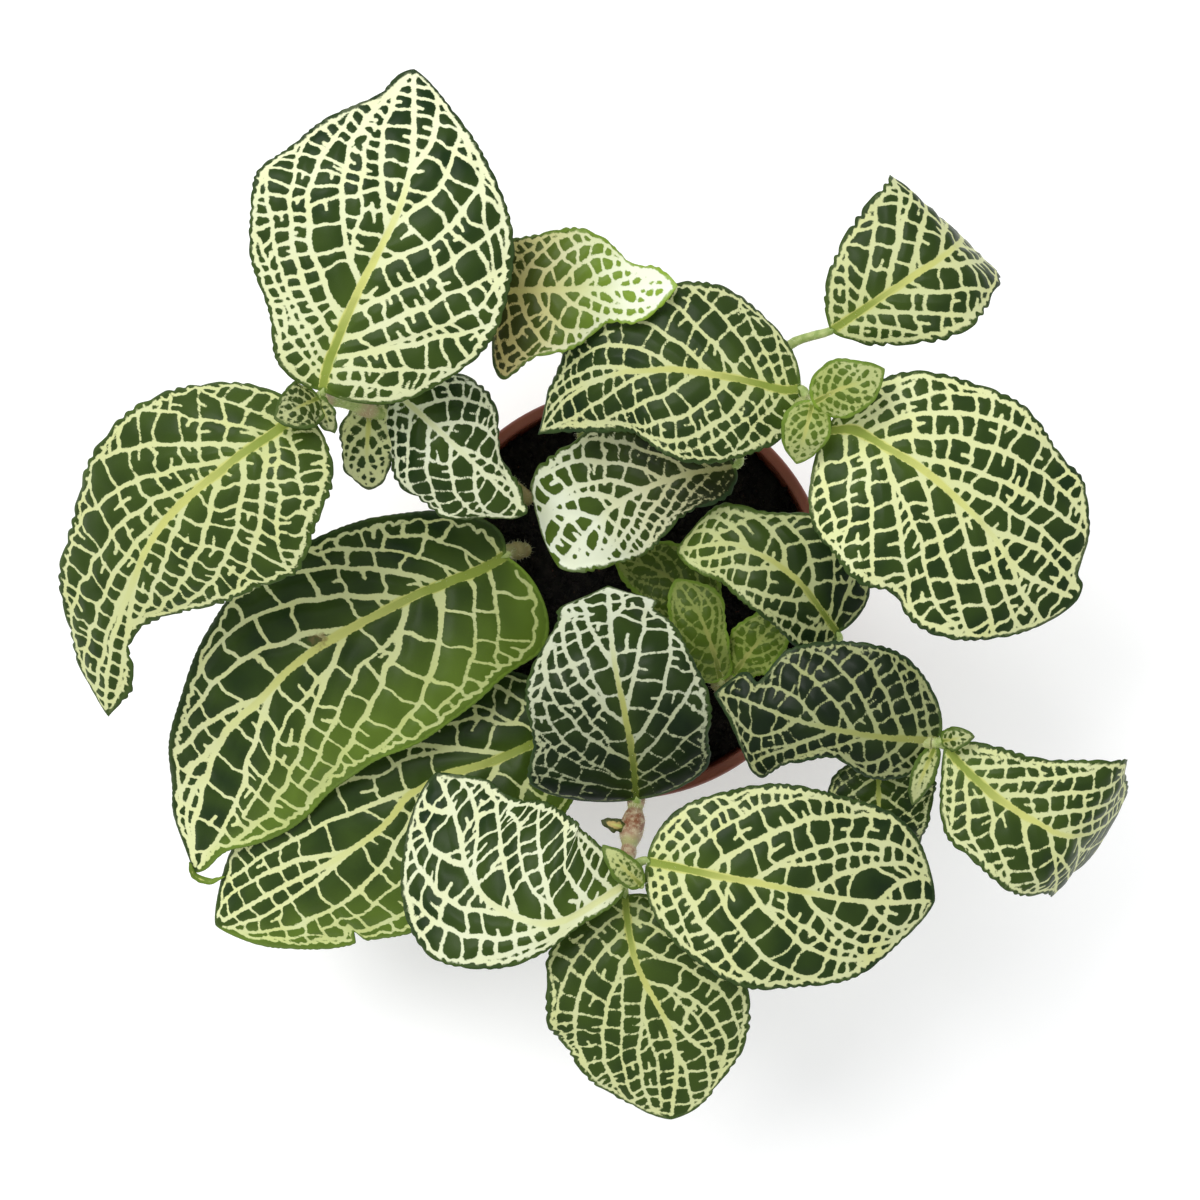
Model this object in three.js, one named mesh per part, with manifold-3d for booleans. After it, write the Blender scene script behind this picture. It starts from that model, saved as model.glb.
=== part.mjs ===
// Potted nerve plant: rooted leafy stems in a small round nursery pot filled with peat soil
// Millimetres, +Z up, origin at the centre of the pot's underside, +Y is the back of the plant

import * as THREE from 'three';
import { mergeVertices } from 'three/addons/utils/BufferGeometryUtils.js';
import Module from 'manifold-3d';

const wasm = await Module();
wasm.setup();

// Driving dimensions
const potHeight = 80;
const rimRadius = 45;
const potBaseRadius = 31;
const potWall = 1.2;
const rimBandHeight = 12;
const rimBandStep = 1.4;
const rimLip = 2.6;
const drainHoleCount = 6;
const drainHoleRadius = 3;
const drainCircleRadius = 21;
const soilBelowRim = 10;
const soilMound = 1.5;
const clearance = 0.3;
const stemRadius = 1.7;
const stemTipRadius = 1.3;
const petioleRadius = 1.2;
const petioleTipRadius = 0.6;
const rootDepth = 20;
const bladeThickness = 0.7;

// How finely the round and curved solids are divided
const potSides = 40;
const soilSides = 30;
const stemSides = 6;
const petioleSides = 5;
const holeSides = 8;
const bladeRows = 12;
const bladeColumns = 6;
const budRows = 5;
const budColumns = 4;

// Usual shape of a blade, which single leaves below change
const usualBlade = {
  roundness: 0.6,
  widestLeft: 0.42,
  widestRight: 0.42,
  foldLeft: 8,
  foldRight: 8,
  curlLeft: 25,
  curlRight: 25,
  wave: 1.0,
  waves: 2.5,
  lobe: 0.06,
  straighten: 0.5,
};

// Every shoot: its stem's path from just above the soil, where it stands upright, and its leaves
// A leaf's rib runs from its base to its tip; left and right are its half widths
// on is the share of the stem's length at which the petiole leaves it
const shoots = [
  {
    name: 'shoot_back_left',
    stem: [[-22, 21, 74], [-30, 27, 88], [-44, 34, 108], [-56, 38.5, 124], [-62, 39, 135]],
    leaves: [
      {
        rib: [[-61.5, 40.5, 136], [-53, 60.5, 140], [-45.5, 80, 142], [-43, 105, 137]],
        left: 27, right: 25, widestLeft: 0.54, widestRight: 0.43, on: 0.98,
      },
      {
        rib: [[-66, 37, 136], [-80, 27, 139], [-97.5, 8.5, 129], [-109, -26, 106]],
        left: 23, right: 24, widestLeft: 0.33, widestRight: 0.46, foldLeft: 12, foldRight: -6, on: 0.98,
      },
      {
        rib: [[-48, 41.5, 119], [-38.5, 33, 121], [-29.5, 24.5, 118], [-21, 16.5, 112]],
        left: 17, right: 15, widestLeft: 0.5, widestRight: 0.5,
        foldLeft: 0, curlLeft: 40, foldRight: 0, curlRight: 40, on: 0.78,
      },
      {
        rib: [[-53, 41, 118], [-53.5, 34.5, 118], [-54, 28.5, 116], [-54, 21.5, 111]],
        left: 6, right: 6, widestLeft: 0.5, widestRight: 0.5, on: 0.8,
      },
      {
        rib: [[-62, 39, 138], [-64.5, 37.5, 142], [-67, 36, 144], [-70.5, 34.5, 143]],
        left: 5, right: 5, wave: 0.3, bud: true, on: 1,
      },
    ],
  },
  {
    name: 'shoot_back',
    stem: [[-9, 31, 74], [-12, 39, 92], [-18, 50, 110], [-24, 58, 122]],
    leaves: [
      {
        rib: [[-26, 61.5, 126], [-14, 61.5, 130], [-1.5, 61.5, 132], [10, 62, 133]],
        left: 12.5, right: 13, widestLeft: 0.4, widestRight: 0.4, on: 1,
      },
    ],
  },
  {
    name: 'shoot_back_right',
    stem: [[15, 23, 74], [19, 27, 92], [24, 32, 110], [31, 37, 124], [37, 38.5, 131]],
    leaves: [
      {
        rib: [[35, 41.5, 129], [16.5, 45, 132], [-2, 45.5, 130], [-18.5, 32.5, 120]],
        left: 20, right: 18, widestLeft: 0.33, widestRight: 0.38, foldRight: -5, on: 0.97,
      },
      {
        rib: [[40, 32.5, 131], [56.5, 26.5, 134], [74.5, 12.5, 131], [92, -1.5, 124]],
        left: 23, right: 26, widestLeft: 0.5, widestRight: 0.5, on: 0.97,
      },
      {
        rib: [[41.5, 53.5, 125], [53, 61.5, 129], [65.5, 70, 127], [70.5, 76.5, 104]],
        left: 17, right: 13, widestLeft: 0.5, widestRight: 0.5, roundness: 0.8, on: 0.9,
      },
      {
        rib: [[22.5, 26.5, 110], [10, 24, 113], [-3, 18, 108], [-14.5, 5.5, 96]],
        left: 14, right: 17, widestLeft: 0.45, widestRight: 0.58, on: 0.5,
      },
      {
        rib: [[37, 38, 137], [42, 40.5, 141], [46.5, 42, 143], [51, 44.5, 142]],
        left: 6, right: 6, wave: 0.3, bud: true, on: 1,
      },
      {
        rib: [[37, 38.5, 136], [36, 34.5, 139], [35, 30.5, 138], [34, 26, 133]],
        left: 5, right: 5, wave: 0.3, bud: true, on: 1,
      },
    ],
  },
  {
    name: 'shoot_front',
    stem: [[3, -23, 74], [3, -33, 90], [2, -44, 101], [0.5, -52, 110], [-0.5, -58, 117]],
    leaves: [
      {
        rib: [[-0.5, -60.5, 116], [-17, -68, 118], [-34, -59, 112], [-40.5, -38, 104]],
        left: 13, right: 21, widestLeft: 0.55, on: 0.97,
      },
      {
        rib: [[4, -55.5, 117], [23, -59.5, 120], [43, -63, 118], [64, -64, 113]],
        left: 22, right: 21, widestLeft: 0.5, widestRight: 0.45, on: 0.97,
      },
      {
        rib: [[-0.5, -63.5, 107], [1.5, -77, 108], [7, -92, 105], [9.5, -112, 98]],
        left: 20, right: 22, widestLeft: 0.52, widestRight: 0.45, on: 0.9,
      },
      {
        rib: [[2, -43.5, 104], [-0.5, -27.5, 113], [-3, -12, 114], [-4, 1.5, 100]],
        left: 20, right: 18, on: 0.62,
      },
      {
        rib: [[1, -61, 119], [-1, -58, 123], [-3, -55, 125], [-5, -52.5, 124]],
        left: 4, right: 4, wave: 0.3, bud: true, on: 1,
      },
    ],
  },
  {
    name: 'shoot_right',
    stem: [[26, -23.5, 74], [34, -26, 92], [46, -29, 107], [56, -30.5, 115], [63, -31, 119]],
    leaves: [
      {
        rib: [[64.5, -30.5, 119], [50, -29, 121], [33.5, -25.5, 120], [18, -21, 114]],
        left: 12, right: 18, foldLeft: -12, on: 1,
      },
      {
        rib: [[65.5, -31.5, 119], [78.5, -40.5, 122], [92.5, -50.5, 119], [99.5, -55.5, 97]],
        left: 18, right: 17, widestLeft: 0.6, widestRight: 0.52, roundness: 0.8, on: 1,
      },
      {
        rib: [[53, -35, 105], [53, -43.5, 105], [54, -52.5, 102], [55.5, -61.5, 96]],
        left: 10, right: 10, widestLeft: 0.45, widestRight: 0.45, on: 0.8,
      },
      {
        rib: [[64.5, -30.5, 121], [66.5, -30, 124], [68.5, -29.5, 125], [71, -29.5, 124]],
        left: 2.5, right: 2.5, wave: 0.3, bud: true, on: 1,
      },
      {
        rib: [[63.5, -31.5, 119], [61.5, -35.5, 121], [60, -39.5, 120], [59, -44, 116]],
        left: 2.5, right: 2.5, wave: 0.3, bud: true, on: 1,
      },
    ],
  },
  {
    name: 'shoot_left',
    stem: [[-22.5, 9.5, 74], [-24, 10, 80], [-25, 9, 86]],
    leaves: [
      {
        rib: [[-26, 8, 91], [-50.5, -2.5, 98], [-78.5, -22, 91], [-98, -59.5, 66]],
        left: 27, right: 21, widestLeft: 0.43, widestRight: 0.43, lobe: 0.12, on: 1,
      },
    ],
  },
  {
    name: 'shoot_front_left',
    stem: [[-4, -20, 74], [-5.5, -23, 79], [-8, -26, 83]],
    leaves: [
      {
        rib: [[-9.5, -27.5, 85], [-32.5, -38, 87], [-59.5, -55, 82], [-91.5, -74, 64]],
        left: 24, right: 26, widestLeft: 0.45, widestRight: 0.45, foldRight: 2, on: 1,
      },
    ],
  },
  {
    name: 'shoot_middle',
    stem: [[20.5, -20, 74], [20.5, -19.5, 78], [20.5, -19, 82]],
    leaves: [
      {
        rib: [[20.5, -19, 86], [18.5, -12, 91], [15.5, -4.5, 93], [10.5, 3, 92]],
        left: 8, right: 8, widestLeft: 0.45, widestRight: 0.45, on: 1,
      },
      {
        rib: [[16, -10, 82], [14, -1.5, 84], [7.5, 4.5, 84], [-2.5, 8, 82]],
        left: 8, right: 8, widestLeft: 0.45, widestRight: 0.45, on: 0.6,
      },
      {
        rib: [[23, -18, 85], [26, -13.5, 89], [30, -8.5, 91], [34.5, -3, 91]],
        left: 6, right: 6, widestLeft: 0.45, widestRight: 0.45, on: 1,
      },
    ],
  },
  {
    name: 'shoot_middle_right',
    stem: [[31, -15.5, 74], [35.5, -14, 86], [41, -11.5, 96]],
    leaves: [
      {
        rib: [[44.5, -8.5, 103], [35, 3.5, 108], [23.5, 10.5, 108], [10.5, 9, 102]],
        left: 11, right: 14, widestLeft: 0.45, widestRight: 0.45, on: 1,
      },
    ],
  },
];

const potPlastic = new THREE.MeshStandardMaterial({ color: '#5a3026', roughness: 0.55, metalness: 0 });
const peat = new THREE.MeshStandardMaterial({ color: '#1c1613', roughness: 0.95, metalness: 0 });
const foliage = new THREE.MeshStandardMaterial({ color: '#3d6132', roughness: 0.5, metalness: 0 });

// Vectors from the lists of numbers above
function vector(point) {
  return new THREE.Vector3(point[0], point[1], point[2]);
}

function spread(from, to, share) {
  return from + (to - from) * share;
}

// A solid that booleans accept, from a closed geometry
function solidOf(geometry) {
  const bare = geometry.clone();
  bare.deleteAttribute('normal');
  bare.deleteAttribute('uv');
  const merged = mergeVertices(bare, 1e-4);
  return new wasm.Manifold(new wasm.Mesh({
    numProp: 3,
    vertProperties: new Float32Array(merged.attributes.position.array),
    triVerts: new Uint32Array(merged.index.array),
  }));
}

function geometryOf(solid) {
  const mesh = solid.getMesh();
  const geometry = new THREE.BufferGeometry();
  geometry.setAttribute('position', new THREE.BufferAttribute(mesh.vertProperties, 3));
  geometry.setIndex(new THREE.BufferAttribute(mesh.triVerts, 1));
  return geometry.toNonIndexed();
}

function geometryFrom(points, triangles) {
  const geometry = new THREE.BufferGeometry();
  const positions = points.flatMap((point) => [point.x, point.y, point.z]);
  geometry.setAttribute('position', new THREE.Float32BufferAttribute(positions, 3));
  geometry.setIndex(triangles);
  return geometry;
}

// What is left of a joined solid without the loose scraps of its joins
function largestOf(solid) {
  return solid.decompose().reduce((most, piece) => (piece.volume() > most.volume() ? piece : most));
}

// A body turned round the vertical axis from its profile of radius and height
function turned(profile, sides) {
  const outline = profile.map(([radius, height]) => new THREE.Vector2(radius, height));
  return new THREE.LatheGeometry(outline, sides).rotateX(Math.PI / 2);
}

// An upright cylinder between two heights
function upright(x, y, low, high, radius, sides) {
  const cylinder = new THREE.CylinderGeometry(radius, radius, high - low, sides);
  return cylinder.rotateX(Math.PI / 2).translate(x, y, (low + high) / 2);
}

// The pot: a tapered wall, a wider band under a rolled lip, and drainage holes
function makePot() {
  const bandFoot = potHeight - rimBandHeight;
  const bandRadius = rimRadius - 1;
  const bodyTop = bandRadius - rimBandStep;
  const shell = turned([
    [0, 0],
    [potBaseRadius - 1, 0],
    [potBaseRadius, 1],
    [bodyTop, bandFoot],
    [bandRadius, bandFoot + 0.4],
    [rimRadius - 0.4, potHeight - 1.6],
    [rimRadius, potHeight - 1],
    [rimRadius - 0.7, potHeight],
    [rimRadius - rimLip + 0.5, potHeight],
    [rimRadius - rimLip, potHeight - 0.6],
    [bandRadius - potWall, bandFoot + 1.6],
    [bodyTop - potWall, bandFoot],
    [potBaseRadius - potWall, potWall],
    [0, potWall],
  ], potSides);
  let pot = solidOf(shell);
  for (let i = 0; i < drainHoleCount; i += 1) {
    const turn = (i / drainHoleCount) * 2 * Math.PI;
    const x = drainCircleRadius * Math.cos(turn);
    const y = drainCircleRadius * Math.sin(turn);
    pot = pot.subtract(solidOf(upright(x, y, -1, potWall + 1, drainHoleRadius, holeSides)));
  }
  return new THREE.Mesh(geometryOf(pot), potPlastic);
}

// The soil: a plug that follows the pot's inside, slightly mounded, with a plain hole for each stem
function makeSoil() {
  const bandFoot = potHeight - rimBandHeight;
  const bandInside = rimRadius - 1 - potWall;
  const bodyInside = bandInside - rimBandStep;
  const edge = potHeight - soilBelowRim;
  const plug = turned([
    [0, potWall + clearance],
    [potBaseRadius - potWall - 2 * clearance, potWall + clearance],
    [bodyInside - 1.5 * clearance, bandFoot],
    [bandInside - 1.5 * clearance, bandFoot + 1.8],
    [bandInside - 1.5 * clearance, edge],
    [bandInside * 0.85, edge + soilMound * 0.5],
    [bandInside * 0.55, edge + soilMound],
    [0, edge + soilMound],
  ], soilSides);
  let soil = solidOf(plug);
  const holeDepth = potHeight - soilBelowRim - rootDepth - clearance;
  for (const shoot of shoots) {
    const [x, y] = shoot.stem[0];
    const hole = upright(x, y, holeDepth, potHeight, stemRadius + 0.5, holeSides);
    soil = soil.subtract(solidOf(hole));
  }
  return new THREE.Mesh(geometryOf(soil), peat);
}

// A closed tube through points whose radius runs evenly from first to last
function tapered(points, first, last, sides) {
  const rings = [];
  const side = new THREE.Vector3(1, 0, 0);
  points.forEach((point, i) => {
    const before = points[Math.max(i - 1, 0)];
    const after = points[Math.min(i + 1, points.length - 1)];
    const along = after.clone().sub(before).normalize();
    side.addScaledVector(along, -side.dot(along)).normalize();
    const up = along.clone().cross(side);
    const radius = spread(first, last, i / (points.length - 1));
    for (let k = 0; k < sides; k += 1) {
      const turn = (k / sides) * 2 * Math.PI;
      const out = side.clone().multiplyScalar(Math.cos(turn)).addScaledVector(up, Math.sin(turn));
      rings.push(point.clone().addScaledVector(out, radius));
    }
  });
  const triangles = [];
  for (let i = 0; i < points.length - 1; i += 1) {
    for (let k = 0; k < sides; k += 1) {
      const a = i * sides + k;
      const b = i * sides + ((k + 1) % sides);
      triangles.push(a, b, b + sides, a, b + sides, a + sides);
    }
  }
  const lastRing = (points.length - 1) * sides;
  for (let k = 1; k < sides - 1; k += 1) {
    triangles.push(0, k + 1, k);
    triangles.push(lastRing, lastRing + k, lastRing + k + 1);
  }
  return geometryFrom(rings, triangles);
}

function pathThrough(points) {
  return new THREE.CatmullRomCurve3(points.map(vector), false, 'catmullrom', 0.5);
}

// The width of a blade's half along its length, as a share of its widest place
function halfWidth(share, roundness, widest) {
  const pointed = (roundness * (1 - widest)) / widest;
  const most = widest ** roundness * (1 - widest) ** pointed;
  return (share ** roundness * (1 - share) ** pointed) / most;
}

// The point and the upward normal of a blade at a share of its length and a share of its half width
function bladePoint(leaf, rib, share, across) {
  const point = rib.getPointAt(share);
  const along = rib.getTangentAt(share);
  const chord = rib.getPointAt(1).sub(rib.getPointAt(0));
  const heading = new THREE.Vector2(along.x, along.y).normalize().multiplyScalar(1 - leaf.straighten);
  heading.add(new THREE.Vector2(chord.x, chord.y).normalize().multiplyScalar(leaf.straighten)).normalize();
  const side = new THREE.Vector3(-heading.y, heading.x, 0);
  const up = along.clone().cross(side).normalize();
  const onLeft = across >= 0;
  const out = Math.abs(across);
  const widest = onLeft ? leaf.widestLeft : leaf.widestRight;
  const outline = halfWidth(share, leaf.roundness, widest);
  const half = outline * (onLeft ? leaf.left : leaf.right);
  const fold = THREE.MathUtils.degToRad(onLeft ? leaf.foldLeft : leaf.foldRight);
  const curl = THREE.MathUtils.degToRad(onLeft ? leaf.curlLeft : leaf.curlRight);
  const angle = fold - curl * out;
  const sideways = (half * (Math.sin(fold) - Math.sin(angle))) / curl;
  const upwards = (half * (Math.cos(angle) - Math.cos(fold))) / curl;
  const sign = onLeft ? 1 : -1;
  const normal = side.clone().multiplyScalar(-sign * Math.sin(angle)).addScaledVector(up, Math.cos(angle));
  const phase = onLeft ? 0 : 2.1;
  const ripple = leaf.wave * out ** 3 * outline * Math.sin(2 * Math.PI * leaf.waves * share + phase);
  const lobe = leaf.lobe * rib.getLength() * outline * out ** 2 * (1 - share) ** 3;
  point.addScaledVector(side, sign * sideways);
  point.addScaledVector(up, upwards);
  point.addScaledVector(normal, ripple);
  point.addScaledVector(along, -lobe);
  return { point, normal };
}

// A blade: two like faces a little apart, joined round the edge, closed to a point at both ends
function makeBlade(leaf, rib) {
  const rows = leaf.bud ? budRows : bladeRows;
  const columns = leaf.bud ? budColumns : bladeColumns;
  const points = [];
  for (const face of [1, -1]) {
    for (let i = 0; i <= rows; i += 1) {
      const share = 0.5 - 0.5 * Math.cos((Math.PI * i) / rows);
      for (let j = 0; j <= columns; j += 1) {
        const end = i === 0 || i === rows;
        const across = end ? 0 : (2 * j) / columns - 1;
        const { point, normal } = bladePoint(leaf, rib, share, across);
        points.push(point.addScaledVector(normal, (face * bladeThickness) / 2));
      }
    }
  }
  const stride = columns + 1;
  const under = (rows + 1) * stride;
  const triangles = [];
  const add = (a, b, c) => {
    const flat = points[a].equals(points[b]) || points[b].equals(points[c]) || points[c].equals(points[a]);
    if (!flat) triangles.push(a, b, c);
  };
  for (let i = 0; i < rows; i += 1) {
    for (let j = 0; j < columns; j += 1) {
      const a = i * stride + j;
      const b = a + 1;
      const c = a + stride;
      const d = c + 1;
      add(a, c, b);
      add(b, c, d);
      add(under + a, under + b, under + c);
      add(under + b, under + d, under + c);
    }
    const right = i * stride;
    const left = right + columns;
    add(right, under + right, right + stride);
    add(under + right, under + right + stride, right + stride);
    add(left, left + stride, under + left);
    add(under + left, left + stride, under + left + stride);
  }
  return geometryFrom(points, triangles);
}

// A petiole: an arc from the stem to the blade, whose end runs on under the blade as its raised rib
function makePetiole(leaf, rib, stem) {
  const start = stem.getPointAt(leaf.on);
  const base = rib.getPointAt(0);
  const reach = start.distanceTo(base) * 0.4;
  const arc = new THREE.CubicBezierCurve3(
    start,
    start.clone().addScaledVector(stem.getTangentAt(leaf.on), reach),
    base.clone().addScaledVector(rib.getTangentAt(0), -reach),
    base,
  );
  const thickness = leaf.bud ? 0.7 : 1;
  const sunk = new THREE.Vector3(0, 0, -0.5 * petioleTipRadius * thickness);
  const ribEnd = leaf.bud ? 0.3 : 0.22;
  const points = [...arc.getPoints(2), rib.getPointAt(ribEnd / 2), rib.getPointAt(ribEnd)];
  points.slice(2).forEach((point) => point.add(sunk));
  return tapered(points, petioleRadius * thickness, petioleTipRadius * thickness, petioleSides);
}

// A shoot: stem, petioles and blades grown together in one body
function makeShoot(shoot) {
  const [x, y] = shoot.stem[0];
  const foot = new THREE.Vector3(x, y, potHeight - soilBelowRim - rootDepth);
  const stem = pathThrough(shoot.stem);
  const stemPoints = [foot, ...stem.getSpacedPoints(shoot.stem.length * 2)];
  let body = solidOf(tapered(stemPoints, stemRadius, stemTipRadius, stemSides));
  for (const settings of shoot.leaves) {
    const leaf = { ...usualBlade, ...settings };
    const rib = pathThrough(leaf.rib);
    body = body.add(solidOf(makePetiole(leaf, rib, stem)));
    body = body.add(solidOf(makeBlade(leaf, rib)));
  }
  const mesh = new THREE.Mesh(geometryOf(largestOf(body)), foliage);
  mesh.name = shoot.name;
  return mesh;
}

const plant = new THREE.Group();

const pot = makePot();
pot.name = 'pot';
plant.add(pot);

const soil = makeSoil();
soil.name = 'soil';
plant.add(soil);

for (const shoot of shoots) {
  plant.add(makeShoot(shoot));
}

export default plant;
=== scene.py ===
# Looks of the potted nerve plant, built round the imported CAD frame
import math
import random

import bpy
import numpy as np
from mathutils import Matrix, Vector


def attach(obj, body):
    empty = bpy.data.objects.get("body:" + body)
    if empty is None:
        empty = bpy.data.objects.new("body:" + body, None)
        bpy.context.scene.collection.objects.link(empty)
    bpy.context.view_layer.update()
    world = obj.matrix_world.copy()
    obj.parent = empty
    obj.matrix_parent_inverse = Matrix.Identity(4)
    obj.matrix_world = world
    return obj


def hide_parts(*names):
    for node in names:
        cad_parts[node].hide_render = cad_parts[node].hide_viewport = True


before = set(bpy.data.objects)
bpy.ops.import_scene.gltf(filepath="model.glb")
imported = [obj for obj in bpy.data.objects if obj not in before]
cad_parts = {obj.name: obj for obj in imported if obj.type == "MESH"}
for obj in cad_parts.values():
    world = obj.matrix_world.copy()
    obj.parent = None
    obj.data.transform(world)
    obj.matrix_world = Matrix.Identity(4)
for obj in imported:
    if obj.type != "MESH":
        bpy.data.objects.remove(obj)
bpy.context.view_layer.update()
mm = 0.001  # the values below are in millimetres, Blender's own unit is the metre
fullTurn = 2 * math.pi
roundTurn = 6.283  # radians, for random turns and phases


# Small helpers

def linear(hexColour):
    # sRGB hex to the linear values that shaders read
    parts = [int(hexColour[i:i + 2], 16) / 255 for i in (1, 3, 5)]
    bent = [p / 12.92 if p <= 0.04045 else ((p + 0.055) / 1.055) ** 2.4 for p in parts]
    return (*bent, 1.0)


def setInputs(tree, node, links):
    # an input is given a value, a hex colour, a socket, a node, which gives its first live output, or a list
    for socket, given in links.items():
        for source in given if isinstance(given, list) else [given]:
            if isinstance(source, bpy.types.Node):
                source = next(output for output in source.outputs if output.enabled)
            if isinstance(source, bpy.types.NodeSocket):
                tree.links.new(source, node.inputs[socket])
            elif isinstance(source, str) and source.startswith("#"):
                node.inputs[socket].default_value = linear(source)
            else:
                node.inputs[socket].default_value = source


def addNode(tree, kind, settings=None, links=None):
    # a kind without Node in its name is one of the tree's own, ShaderNode or GeometryNode
    own = "GeometryNode" if tree.bl_idname == "GeometryNodeTree" else "ShaderNode"
    node = tree.nodes.new(kind if "Node" in kind else own + kind)
    for name, value in (settings or {}).items():
        setattr(node, name, value)
    setInputs(tree, node, links or {})
    return node


def unit(rows):
    return rows / np.linalg.norm(rows, axis=-1, keepdims=True)


def smooth(low, high, values):
    part = np.clip((values - low) / (high - low), 0, 1)
    return part * part * (3 - 2 * part)


def runOf(line):
    # how far along the line each of its points lies
    return np.r_[0, np.cumsum(np.linalg.norm(np.diff(line, axis=0), axis=1))]


def plainMesh(name, points, faces, materials=(), slots=None, values=None, edges=()):
    # a mesh object from points in mm, with a material number for each face and named values for each point
    mesh = bpy.data.meshes.new(name)
    mesh.from_pydata(np.asarray(points) * mm, edges, faces)
    for material in materials:
        mesh.materials.append(material)
    if slots is not None:
        mesh.polygons.foreach_set("material_index", np.asarray(slots, np.int32))
    for key, value in (values or {}).items():
        mesh.attributes.new(key, "FLOAT", "POINT").data.foreach_set("value", np.asarray(value, np.float32))
    mesh.polygons.foreach_set("use_smooth", np.ones(len(mesh.polygons), bool))
    mesh.update()
    thing = bpy.data.objects.new(name, mesh)
    bpy.context.scene.collection.objects.link(thing)
    return thing


def geometryTree(name, sizes):
    # a Geometry Nodes tree with named inputs; returns the tree, its input node and its output node
    tree = bpy.data.node_groups.new(name, "GeometryNodeTree")
    tree.interface.new_socket("Geometry", in_out="OUTPUT", socket_type="NodeSocketGeometry")
    tree.interface.new_socket("Geometry", in_out="INPUT", socket_type="NodeSocketGeometry")
    for label, value in sizes.items():
        kind = {int: "NodeSocketInt", float: "NodeSocketFloat"}.get(type(value), "NodeSocketMaterial")
        tree.interface.new_socket(label, in_out="INPUT", socket_type=kind)
    return tree, addNode(tree, "NodeGroupInput"), addNode(tree, "NodeGroupOutput")


def applyTree(thing, tree, sizes):
    # runs the tree on the object with these inputs and keeps the result as a plain mesh
    modifier = thing.modifiers.new(tree.name, "NODES")
    modifier.node_group = tree
    for socket in tree.interface.items_tree:
        if socket.in_out == "INPUT" and socket.name in sizes:
            modifier[socket.identifier] = sizes[socket.name]
    graph = bpy.context.evaluated_depsgraph_get()
    made = bpy.data.meshes.new_from_object(thing.evaluated_get(graph), preserve_all_data_layers=True,
                                           depsgraph=graph)
    thing.modifiers.remove(modifier)
    old = thing.data
    thing.data = made
    bpy.data.meshes.remove(old)
    made.name = thing.name


def settle(thing, node):
    # every piece is fixed in the one body and stands for its CAD node
    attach(thing, "root")
    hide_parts(node)


# The plant: the same stems and ribs as the CAD solids, with what only shows in the finish
# rib runs from a leaf's base to its tip, half holds the half widths, on is how far up the stem it joins
# half, widest, fold, curl and arch are pairs, on the left and on the right of the rib
# young, white, bold, the brown tint and the darkening are pairs, at the base and at the tip: yellow-green
# tissue, white veins, broad veins, a brown tint (a bract's dry brown, and painted shade at the bases of two
# shaded leaves), and a darkening that is partly dull old colour and partly painted shade on the lower, shaded
# leaves;
# youngLeft adds yellow-green to the left half
# midrib is how far the rib lies off the middle; a side vein is told in percent, where it leaves the midrib,
# how far out it is half way, and where it meets the margin, or else they come evenly, lineGap mm apart
# cells and spurs scale the small net, teeth the margin, fringe ends it in short veins, greenRib tints the
# foot of the midrib, and a nudge is (side, share, spread, mm) that moves the margin
# cork browns the joints of a shoot, sheaths are the shares of its length where old leaf feet swell it, and
# petioleVia is a place that a petiole passes on its way
usualBlade = {
    "roundness": 0.6, "widest": (0.42, 0.42), "fold": (8, 8), "curl": (25, 25), "straighten": 0.5,
    "wave": 1.0, "waves": 2.5, "lobe": 0.06, "nudges": [], "teeth": 1.1, "bud": False,
    "petiole": True, "petioleVia": None,
    "young": (0.1, 0.03), "white": (0.2, 0.2), "bold": (1.0, 1.0), "warm": (0.0, 0.0), "dim": (0.25, 0.2),
    "youngLeft": 0.0, "greenRib": 1.0,
    "midrib": [(0, 0), (0.5, 0), (1, 0)], "veinsLeft": [], "veinsRight": [], "lineGap": 6.6,
    "arch": (0.55, 0.55), "cells": 1.0, "spurs": 0.28, "fringe": True,
}
youngBlade = {"bud": True, "on": 1, "wave": 0.3, "bold": (0.1, 0.1), "lineGap": 2.4, "spurs": 0.1}
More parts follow.
